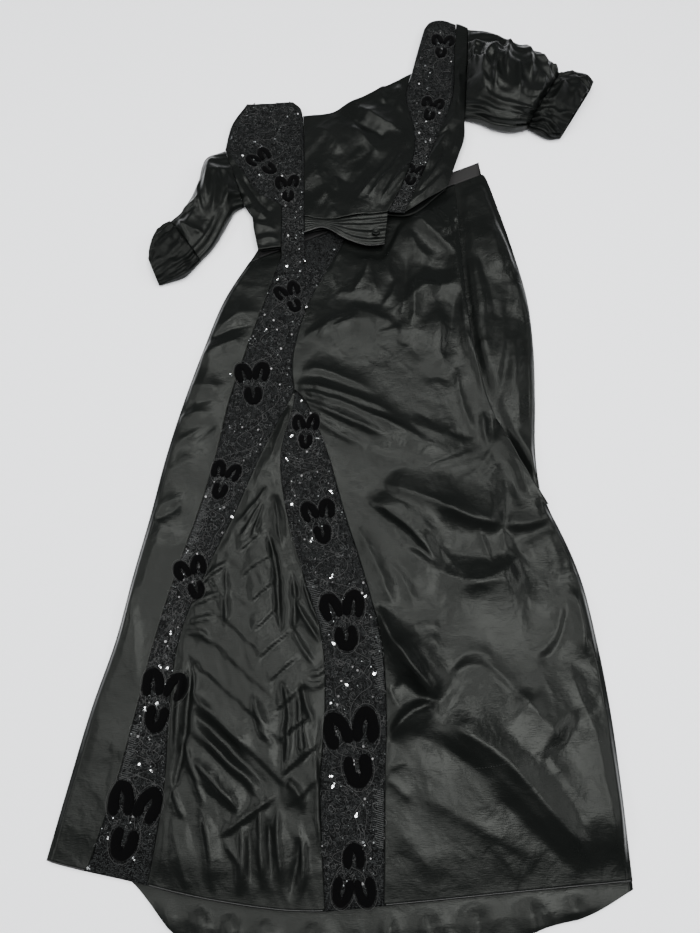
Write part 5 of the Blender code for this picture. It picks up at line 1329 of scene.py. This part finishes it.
def tube(node, sections, rings, points, gathers, depth, crush, finish, seed):
    """A sleeve or cuff: rings round it, with uneven gathers and folds on its upper side."""
    columns = [table_curve(range(len(sections)), [row[k] for row in sections]) for k in range(5)]
    at = np.linspace(0.0, len(sections) - 1, rings + 1)
    x0, y0, x1, y1, height = (read(at)[:, None] for read in columns)
    mid_x, mid_y = (x0 + x1) / 2, (y0 + y1) / 2
    arm_x, arm_y = (x0 - x1) / 2, (y0 - y1) / 2
    half = np.hypot(arm_x, arm_y)
    share = (at / (len(sections) - 1))[:, None]
    angle = np.linspace(0.0, 2.0 * math.pi, points, endpoint=False)[None, :]
    side, up = ring_section(angle)

    u, v = share * 0.1 + 0.0 * angle, angle * 0.05 + 0.0 * share
    drift = GATHERS_DRIFT[0] * noise(u, v, GATHERS_DRIFT[1], seed)
    least, more, size = GATHERS_STRENGTH
    strong = least + more * noise(u, v, size, seed + 1)
    wave = 1.0 - 2.0 * np.abs(np.sin(0.5 * gathers * (angle + 0.35 * drift))) ** 0.8
    wave = wave + 0.6 * np.sin(1.7 * gathers * angle + 4.0 * drift)
    ends = GATHERS_MIDDLE + (1.0 - GATHERS_MIDDLE) * np.abs(np.cos(math.pi * share))
    wave = depth * wave * strong * ends * smoothstep(*GATHERS_ON, up)
    reach = side * (1.0 + 0.4 * wave / half)
    wx, wy = wander(mid_x + arm_x * reach, mid_y + arm_y * reach)
    folds = SLEEVE_FOLD_HEIGHT * fold_field(SLEEVE_RIDGES, wx.ravel(), wy.ravel()).reshape(wx.shape)
    settle = smoothstep(0.0, SLEEVE_ENDS, share) * smoothstep(0.0, SLEEVE_ENDS, 1 - share)
    settle = settle * smoothstep(*SLEEVE_FOLDS_ON, up)
    crumple = crush * (noise(wx, wy, 0.017, seed + 2) + 0.6 * noise(wy, wx, 0.009, seed + 3) - 0.8)
    rise = wave + folds * settle + crumple * smoothstep(*CRUMPLES_ON, up)

    walls = []
    for inset in (0.0, SHELL):
        inner = reach * (half - inset) / half
        z = TUBE_LIFT + inset + (height - 2.0 * inset) * up + rise
        walls.append(np.stack([mid_x + arm_x * inner, mid_y + arm_y * inner, z], axis=-1))
    vertices = np.concatenate(walls).reshape(-1, 3)
    count = len(vertices) // 2
    index = np.arange(count).reshape(rings + 1, points)
    nearby = np.roll(index, -1, axis=1)
    outer = np.stack([index[:-1], nearby[:-1], nearby[1:], index[1:]], axis=-1).reshape(-1, 4)
    first = np.stack([index[0], index[0] + count, nearby[0] + count, nearby[0]], axis=-1)
    last = np.stack([index[-1], nearby[-1], nearby[-1] + count, index[-1] + count], axis=-1)
    faces = outward(vertices, np.concatenate([outer, outer[:, ::-1] + count, first, last]))
    made = mesh_object(node + "_cloth", vertices, faces, finish)
    round_it = np.linalg.norm(np.roll(walls[0], -1, axis=1) - walls[0], axis=-1).sum(axis=1)
    middle = np.stack([mid_x, mid_y], axis=-1)[:, 0]
    length = np.linalg.norm(np.diff(middle, axis=0), axis=-1).sum()
    sizes = (round_it.max(), length, round_it.mean() * length)
    finish_sheet(made, node, sizes, ROUND_FULLNESS)


def build_sleeves():
    for row in (
            # node, sections, rings, points, gathers, depth, crush, finish, seed
            ("sleeve_right", SLEEVE_RIGHT, 80, 150, 13, 0.0034, 0.0013, SATIN_FINISH, 61),
            ("cuff_right", CUFF_RIGHT, 44, 130, 16, 0.0032, 0.0060, LINING_FINISH, 64),
            ("sleeve_left", SLEEVE_LEFT, 70, 100, 8, 0.0018, 0.0011, SATIN_FINISH, 67),
            ("cuff_left", CUFF_LEFT, 40, 100, 13, 0.0022, 0.0050, LINING_FINISH, 70)):
        tube(*row)


def skirt_top(x, y):
    """Face of the skirt front: of the net bands and of the satin beside them."""
    on_a = (x > seam_x["band_a_left"](y)) & (x < seam_x["band_a_right"](y))
    on_b = (x > seam_x["band_b_left"](y)) & (x < seam_x["band_b_right"](y)) & (y < STAR[1])
    return np.where(on_a | on_b, net_low(x, y) + NET, skirt_low(x, y) + SATIN)


def bodice_top(x, y):
    return np.where(y < bodice_edge_y(x), strip_low(x, y), bodice_net_low(x, y)) + NET


def heading(degrees):
    return np.array([math.cos(math.radians(degrees)), math.sin(math.radians(degrees))])


def round_lobe(x, y, turn, radius, lobe, phi, long, wide):
    """Points on an oval about a lobe's middle, its half axes as shares of the flower's radius."""
    direction, middle, tip = lobe[:3]
    centre = np.array([x, y]) + radius * middle * heading(direction + turn)
    forward = heading(tip + turn)
    sideways = np.array([-forward[1], forward[0]])
    return (centre + radius * long * np.cos(phi)[:, None] * forward
            + radius * wide * np.sin(phi)[:, None] * sideways)


LOBE_STEPS = 44
PILE_STEPS = 8
PILE_TAPERS = 26.0        # degrees before the slit in which the pile grows thin
PILE_WAVES = ((0.07, 3.0), (0.04, 7.0))
ON_FACE = 0.0004          # lift of trim over the cloth that it lies on


def flower_pile(x, y, turn, radius):
    """Points and faces of a flower's lobes, before they are laid on a face."""
    points, heights, faces = [], [], []
    phi = np.radians(np.linspace(-LOBE_OPENING, LOBE_OPENING, LOBE_STEPS + 1))
    across = np.linspace(-1.0, 1.0, PILE_STEPS + 1)[None, :]
    thin = np.clip((LOBE_OPENING - np.degrees(np.abs(phi))) / PILE_TAPERS, 0.0, 1.0) ** 0.5
    dome = np.sqrt(np.clip(1.0 - across ** 2, 0.0, 1.0)) * (0.35 + 0.65 * thin[:, None])
    (slow, slow_rate), (quick, quick_rate) = PILE_WAVES
    for number, lobe in enumerate(LOBES):
        half_length, half_width = lobe[3:]
        wobble = (1.0 + slow * np.sin(slow_rate * phi + number + 2.0 * turn)
                  + quick * np.sin(quick_rate * phi + x * 90.0))
        band = PILE_WIDTH * half_width * radius * wobble * (0.25 + 0.75 * thin)
        line = round_lobe(x, y, turn, radius, lobe, phi, half_length - PILE_WIDTH * half_width,
                          half_width * (1.0 - PILE_WIDTH))
        run = np.gradient(line, axis=0)
        run /= np.linalg.norm(run, axis=1, keepdims=True)
        normal = np.stack([run[:, 1], -run[:, 0]], axis=-1)
        pile = line[:, None] + normal[:, None] * (band[:, None] * across)[..., None]
        pile = pile.reshape(-1, 2)
        points += [pile, pile]
        heights += [0.0 * dome.ravel(), 0.0002 + PILE * dome.ravel()]
        faces.append(wall_faces(LOBE_STEPS, PILE_STEPS) + 2 * len(pile) * number)
    return np.concatenate(points), np.concatenate(heights), np.concatenate(faces)


def build_flowers():
    for name, x, y, turn, radius in FLOWERS:
        face = skirt_top if "band" in name else bodice_top
        points, heights, faces = flower_pile(x, y, turn, radius)
        z = face(points[:, 0], points[:, 1]) + ON_FACE + heights
        vertices = np.column_stack([points, z])
        faces = outward(vertices, faces)
        made = mesh_object(name.replace("flower", "velvet_flower"), vertices, faces, VELVET_FINISH)
        corners = vertices[faces]
        a = corners[:, 2, :2] - corners[:, 0, :2]
        b = corners[:, 3, :2] - corners[:, 1, :2]
        area = np.abs(a[:, 0] * b[:, 1] - a[:, 1] * b[:, 0]).sum() / 4
        sizes = (np.ptp(points[:, 0]), np.ptp(points[:, 1]), area)
        finish_sheet(made, name, sizes, 1.0)


def laid_on(face, runs, above=ON_FACE):
    """Runs of x and y laid on a face, all read in one go."""
    points = np.concatenate(runs)
    heights = face(points[:, 0], points[:, 1]) + above
    cuts = np.cumsum([len(run) for run in runs])[:-1]
    return np.split(np.column_stack([points, heights]), cuts)


THREAD_FOOT = 0.4         # depth of a thread's lower edges below its line, in radii


def thread_tubes(name, runs, radius, finish):
    """Many threads, each a three-sided tube along its points, as one mesh."""
    vertices, faces = [], []
    offset = 0
    up = np.array([0.0, 0.0, radius])
    for run in runs:
        step = np.gradient(run, axis=0)
        step[:, 2] = 0.0
        step /= np.maximum(np.linalg.norm(step, axis=1, keepdims=True), 1e-9)
        sideways = np.stack([step[:, 1], -step[:, 0], step[:, 2]], axis=-1) * radius
        foot = run - up * THREAD_FOOT
        rings = np.stack([foot + sideways, run + up, foot - sideways], axis=1)
        vertices.append(rings.reshape(-1, 3))
        here = offset + 3 * np.arange(len(run) - 1)
        for k, m in ((0, 1), (1, 2), (2, 0)):
            faces.append(np.stack([here + k, here + m, here + 3 + m, here + 3 + k], axis=-1))
        offset += 3 * len(run)
    made = mesh_object(name, np.concatenate(vertices), np.concatenate(faces), finish)
    return add_part(made)


def round_bodies(name, bodies, rings, around, finish):
    """Closed round bodies as one mesh. Each has its rings, the lowest one first, and then
    the middle point below and the one above."""
    k = np.arange(around)
    m = (k + 1) % around
    foot = np.full(around, rings * around)
    high = (rings - 1) * around
    parts = [(foot, m, k), (high + k, high + m, foot + 1)]
    for low in range(0, high, around):
        above = low + around
        parts += [(low + k, low + m, above + m), (low + k, above + m, above + k)]
    triangles = np.concatenate([np.stack(part, axis=-1) for part in parts])
    starts = np.arange(len(bodies)) * (rings * around + 2)
    triangles = (triangles[None] + starts[:, None, None]).reshape(-1, 3)
    return add_part(mesh_object(name, np.concatenate(bodies), triangles, finish))


def ring(x, y, z, radius, around):
    """Points round a level circle."""
    angle = np.linspace(0.0, 2.0 * math.pi, around, endpoint=False)
    return np.column_stack([x + radius * np.cos(angle), y + radius * np.sin(angle),
                            np.full(around, z)])


def band_point(band, share, y):
    return seam_x[band + "_left"](y) * (1 - share) + seam_x[band + "_right"](y) * share, y


def net_outline(kind):
    """The two long edges of a net piece of the bodice, point by point."""
    if kind == "yoke":
        outer = joined((YOKE_OUTER, 50), (YOKE_LOWER, 50), (STRIP_LEFT, 30), (STRIP_LEFT_TAIL, 10))
        return outer, joined((YOKE_INNER_TOP, 22), (YOKE_INNER, 78), (STRIP_RIGHT, 12),
                             (STRIP_RIGHT_SASH, 14), (STRIP_RIGHT_TAIL, 14))
    return joined((LACE_LEFT_TOP, 40), (LACE_LEFT, 100)), along(LACE_RIGHT, NET_STEPS)


def net_places(rng, count, kind):
    """Random points on one of the net pieces, those of the bodice a little in from its edges."""
    share = rng.rand(count)
    v = rng.rand(count)
    if kind in NET_SPANS:
        top, length = NET_SPANS[kind]
        return band_point("band_" + kind, share, top - length * v)
    share = NET_MARGIN + (1.0 - 2.0 * NET_MARGIN) * share
    outer, inner = net_outline(kind)
    at = np.minimum((v * NET_STEPS).astype(int), NET_STEPS - 1)
    places = outer[at] * (1 - share)[:, None] + inner[at] * share[:, None]
    return places[:, 0], places[:, 1]


def stays_on(kind, run):
    """Whether a thread of x and y keeps to its net piece of the bodice."""
    outer, inner = net_outline(kind)
    outline = np.concatenate([outer, inner[::-1]])
    ahead = np.roll(outline, -1, axis=0)
    rise = ahead[:, 1] - outline[:, 1]
    rise[rise == 0.0] = 1e-12
    for x, y in run:
        crossed = (outline[:, 1] > y) != (ahead[:, 1] > y)
        at = outline[:, 0] + (y - outline[:, 1]) * (ahead[:, 0] - outline[:, 0]) / rise
        if np.count_nonzero(crossed & (x < at)) % 2 == 0:
            return False
    return True


NETS = (
    # kind, face, scrolls
    ("a", skirt_top, 1150),
    ("b", skirt_top, 950),
    ("yoke", bodice_top, 520),
    ("lace", bodice_top, 520),
)


def build_scrolls():
    """Close winding thread work all over the nets, one thread in four of it grey."""
    rng = np.random.RandomState(81)
    dark, pale = [], []
    least, more = SCROLL_SIZES
    least_turn, more_turn = SCROLL_TURNS
    for kind, face, count in NETS:
        runs = []
        for place in zip(*net_places(rng, count, kind)):
            size = least + more * rng.rand() ** 2
            begin = 2.0 * math.pi * rng.rand()
            turn = begin + np.linspace(0.0, least_turn + more_turn * rng.rand(), SCROLL_POINTS)
            grow = size * np.linspace(*SCROLL_GROWS, SCROLL_POINTS)
            spiral = grow[:, None] * np.column_stack([np.cos(turn), np.sin(turn)])
            runs.append(np.array(place) + spiral)
        if face is bodice_top:
            runs = [run for run in runs if stays_on(kind, run)]
        runs = laid_on(face, runs, 0.0003)
        pale += runs[::4]
        dark += [run for k, run in enumerate(runs) if k % 4]
    thread_tubes("scroll_threads", dark, 0.00032, THREAD_FINISH)
    thread_tubes("scroll_threads_grey", pale, 0.00028, PALE_THREAD_FINISH)


def build_outlines():
    """Fine thread round each lobe, branches between the flowers and arcs on the bodice's nets."""
    on_skirt, on_bodice = [], []
    phi = np.linspace(-OUTLINE_TURN, OUTLINE_TURN, 26)
    for name, x, y, turn, radius in FLOWERS:
        for lobe in LOBES:
            long, wide = (half * OUTLINE_GROWS for half in lobe[3:])
            (on_skirt if "band" in name else on_bodice).append(
                round_lobe(x, y, turn, radius, lobe, phi, long, wide))
    rng = np.random.RandomState(91)
    for band, top, bottom in BRANCHES:
        y = np.linspace(top, bottom, 260)
        for phase, width in BRANCH_WAVES:
            share = 0.5 + width * np.sin(y * 55.0 + phase + 9.0 * noise(y, y, 0.06, 92))
            on_skirt.append(np.column_stack(band_point(band, share, y)))
    least, more = ARC_SIZES
    for _ in range(ARCS):
        kind = "yoke" if rng.rand() < 0.5 else "lace"
        xs, ys = net_places(rng, 1, kind)
        turn = 2.0 * math.pi * rng.rand() + np.linspace(0.0, ARC_TURN, 12)
        size = least + more * rng.rand()
        run = np.column_stack([xs[0] + size * (np.cos(turn) - math.cos(turn[6])),
                               ys[0] + size * (np.sin(turn) - math.sin(turn[6]))])
        if stays_on(kind, run):
            on_bodice.append(run)
    runs = laid_on(skirt_top, on_skirt) + laid_on(bodice_top, on_bodice)
    thread_tubes("outline_threads", runs, 0.00034, THREAD_FINISH)


def build_combs():
    """Rows of short parallel stitches at the bands' edges."""
    runs = []
    length, uneven = COMB_REACH
    for seam, top, bottom, inward in COMBS:
        for y in np.arange(bottom, top, COMB_STEP):
            x = float(seam_x[seam](y)) + inward * COMB_FROM_EDGE
            reach = np.linspace(0.0, length + uneven * math.sin(y * 700.0), 4)
            runs.append(np.column_stack([x + inward * reach, y + 0.25 * reach]))
    thread_tubes("comb_stitches", laid_on(skirt_top, runs), 0.00035, PALE_THREAD_FINISH)


NET_HEIGHT = 0.006


def picture_point(px, py):
    """Where a pixel of the picture meets the dress, taken at the net's height."""
    v = (PICTURE[1] / 2 - py) / FOCAL_PIXELS
    t = (CAMERA_AT[2] - NET_HEIGHT) / (math.cos(CAMERA_TILT) - v * math.sin(CAMERA_TILT))
    x = t * (px - PICTURE[0] / 2) / FOCAL_PIXELS
    return x, t * (math.sin(CAMERA_TILT) + v * math.cos(CAMERA_TILT)) + CAMERA_AT[1]


def discs(name, places, thickness, finish, tilt, seed):
    """Small round sequins, each a low cone with a flat foot, leaning at random."""
    rng = np.random.RandomState(seed)
    bodies = []
    for x, y, z, radius in places:
        lean = (rng.rand(2) - 0.5) * 2.0 * tilt
        low = ring(0.0, 0.0, 0.0, radius, SEQUIN_SIDES)
        low[:, 2] = low[:, :2] @ lean
        middle = np.array([x, y, z])
        lift = np.array([0.0, 0.0, thickness])
        bodies.append(np.concatenate([middle + low, middle + SEQUIN_TOP * low + lift,
                                      [middle, middle + lift]]))
    made = round_bodies(name, bodies, 2, SEQUIN_SIDES, finish)
    made.data.polygons.foreach_set("use_smooth", np.zeros(len(made.data.polygons), dtype=bool))


def beads(name, places, radius, finish):
    """Small round beads as one mesh."""
    bodies = []
    for x, y, z in places:
        rings = [ring(x, y, z + level * radius, wide * radius, BEAD_SIDES)
                 for level, wide in BEAD_RINGS]
        bodies.append(np.concatenate(rings + [[(x, y, z - radius), (x, y, z + radius)]]))
    round_bodies(name, bodies, len(BEAD_RINGS), BEAD_SIDES, finish)


def build_sequins():
    """Bright sequins where the picture shows them, and small ones and beads all over."""
    x, y = np.array([picture_point(px, py) for px, py in GLINTS_PX]).T
    on_bodice = (y > 0.22) | ((x < -0.07) & (y > 0.18))
    z = np.where(on_bodice, bodice_top(x, y), skirt_top(x, y)) + 0.0010
    rng = np.random.RandomState(103)
    glints = [(a, b, c, 0.0012 + 0.0010 * rng.rand()) for a, b, c in zip(x, y, z)]
    for _ in range(2):
        near_x = x + 0.005 * (rng.rand(len(x)) - 0.5)
        near_y = y + 0.007 * (rng.rand(len(x)) - 0.5)
        glints += [(a, b, c, 0.0006 + 0.0007 * rng.rand()) for a, b, c in zip(near_x, near_y, z)]
    discs("bright_sequins", glints, 0.0004, SEQUIN_FINISH, 0.22, 101)
    dark, grey, small = [], [], []
    for kind, face, count in NETS:
        # share of the scrolls' number, lift, least radius and how much larger it may be
        for found, part, lift, least, more in ((dark, 8, 0.0009, 0.0011, 0.0009),
                                               (grey, 7, 0.0009, 0.0004, 0.0006),
                                               (small, 3, 0.0007, None, None)):
            xs, ys = net_places(rng, count // part, kind)
            columns = [xs, ys, face(xs, ys) + lift]
            if least is not None:
                columns.append(least + more * rng.rand(len(xs)))
            found += list(zip(*columns))
    discs("small_sequins", grey, 0.0003, DIM_SEQUIN_FINISH, 0.6, 105)
    discs("dark_sequins", dark, 0.0004, BEAD_FINISH, 0.5, 104)
    beads("black_beads", small, 0.0009, BEAD_FINISH)


def drape_top(x, y):
    return drape_low(x, y) + SATIN


def build_stitching():
    """The drape's mended seam, the braid at the front's hem and the sash's piping."""
    line = along(np.asarray(SEAM_STITCHES) * CM, 170)
    share = np.linspace(0.0, 0.75, 3)[:, None]
    runs = [line[k] * (1 - share) + line[k + 1] * share for k in range(0, 168, 2)]
    thread_tubes("seam_stitches", laid_on(drape_top, runs, 0.0002), 0.00035, THREAD_FINISH)
    braids = []
    for left, right in HEM_BRAIDS:
        x_left = float(seam_x[left](where(hem_y, left))) + 0.003
        x_right = float(seam_x[right](where(hem_y, right))) - 0.003
        x = np.linspace(x_left, x_right, max(12, int((x_right - x_left) / 0.004)))
        low = drape_low if right == "drape_right" else skirt_low
        y = hem_y(x) + 0.0016
        braids.append(np.column_stack([x, y, low(x, y) + SATIN + ON_FACE]))
    thread_tubes("hem_braid", braids, 0.0009, THREAD_FINISH)
    x, y = along(SASH_BOTTOM, 110).T
    y = y + 0.0012
    piping = np.column_stack([x, y, sash_low(x, y) + SATIN + 0.0002])
    thread_tubes("sash_piping", [piping], 0.0009, THREAD_FINISH)


def build_button():
    """A covered button: a round rim with a dark hollow middle."""
    x, y = BUTTON_AT
    base = float(sash_low(np.array([x]), np.array([y]))[0]) + SATIN + BUTTON_LIFT
    rings = [ring(x, y, base + height, BUTTON_RADIUS * reach, BUTTON_ROUND)
             for reach, height in BUTTON_PROFILE]
    body = np.concatenate(rings + [[(x, y, base), (x, y, base + BUTTON_MIDDLE)]])
    made = round_bodies("button_cloth", [body], len(rings), BUTTON_ROUND, SATIN_FINISH)
    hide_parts("bodice_button")


FLOOR_SIZE = 4.0
FLOOR_LEVEL = -0.0006


def build_floor():
    corners = [(x * FLOOR_SIZE, y * FLOOR_SIZE, FLOOR_LEVEL)
               for x, y in ((-1, -1), (1, -1), (1, 1), (-1, 1))]
    mesh_object("floor", corners, [(0, 1, 2, 3)], FLOOR_FINISH)


SOFTBOXES = (
    # name, width, length, x, y, height, power
    ("softbox_right", 1.20, 0.84, 0.72, -0.47, 2.2, 44.0),
    ("softbox_left", 0.60, 1.80, -0.95, -0.10, 2.2, 25.0),
    ("softbox_hem", 2.30, 0.36, 0.05, -1.22, 2.2, 12.5),
    ("softbox_inset", 0.36, 0.90, -0.28, -0.45, 2.2, 6.5),
    ("softbox_star", 1.70, 0.34, 0.10, 0.66, 2.2, 33.0),
    ("softbox_waist", 2.30, 0.36, 0.0, 1.15, 2.2, 12.0),
    ("softbox_far_left", 1.00, 3.00, -2.60, 0.0, 2.0, 70.0),
    ("softbox_far_right", 1.00, 3.00, 2.60, 0.0, 2.0, 70.0),
)
SKY = 0.25


def build_light():
    for name, width, length, x, y, height, power in SOFTBOXES:
        lamp = bpy.data.lights.new(name, "AREA")
        lamp.shape = "RECTANGLE"
        lamp.size = width
        lamp.size_y = length
        lamp.energy = power
        made = bpy.data.objects.new(name, lamp)
        made.location = (x, y, height)
        made.visible_camera = False
        bpy.context.scene.collection.objects.link(made)
    world = bpy.data.worlds.new("studio")
    world.use_nodes = True
    sky = world.node_tree.nodes["Background"]
    sky.inputs["Color"].default_value = (0.95, 0.97, 1.0, 1.0)
    sky.inputs["Strength"].default_value = SKY
    bpy.context.scene.world = world


def build_camera():
    camera = bpy.data.cameras.new("camera")
    camera.sensor_width = SENSOR
    camera.lens = FOCAL_PIXELS / PICTURE[1] * SENSOR
    camera.clip_start = 0.01
    made = bpy.data.objects.new("camera", camera)
    made.location = CAMERA_AT
    made.rotation_euler = (CAMERA_TILT, 0.0, 0.0)
    bpy.context.scene.collection.objects.link(made)
    bpy.context.scene.camera = made


build_floor()
build_back()
build_skirt()
build_side()
build_waistband()
build_bodice()
build_sleeves()
build_flowers()
build_scrolls()
build_outlines()
build_combs()
build_sequins()
build_stitching()
build_button()
build_light()
build_camera()
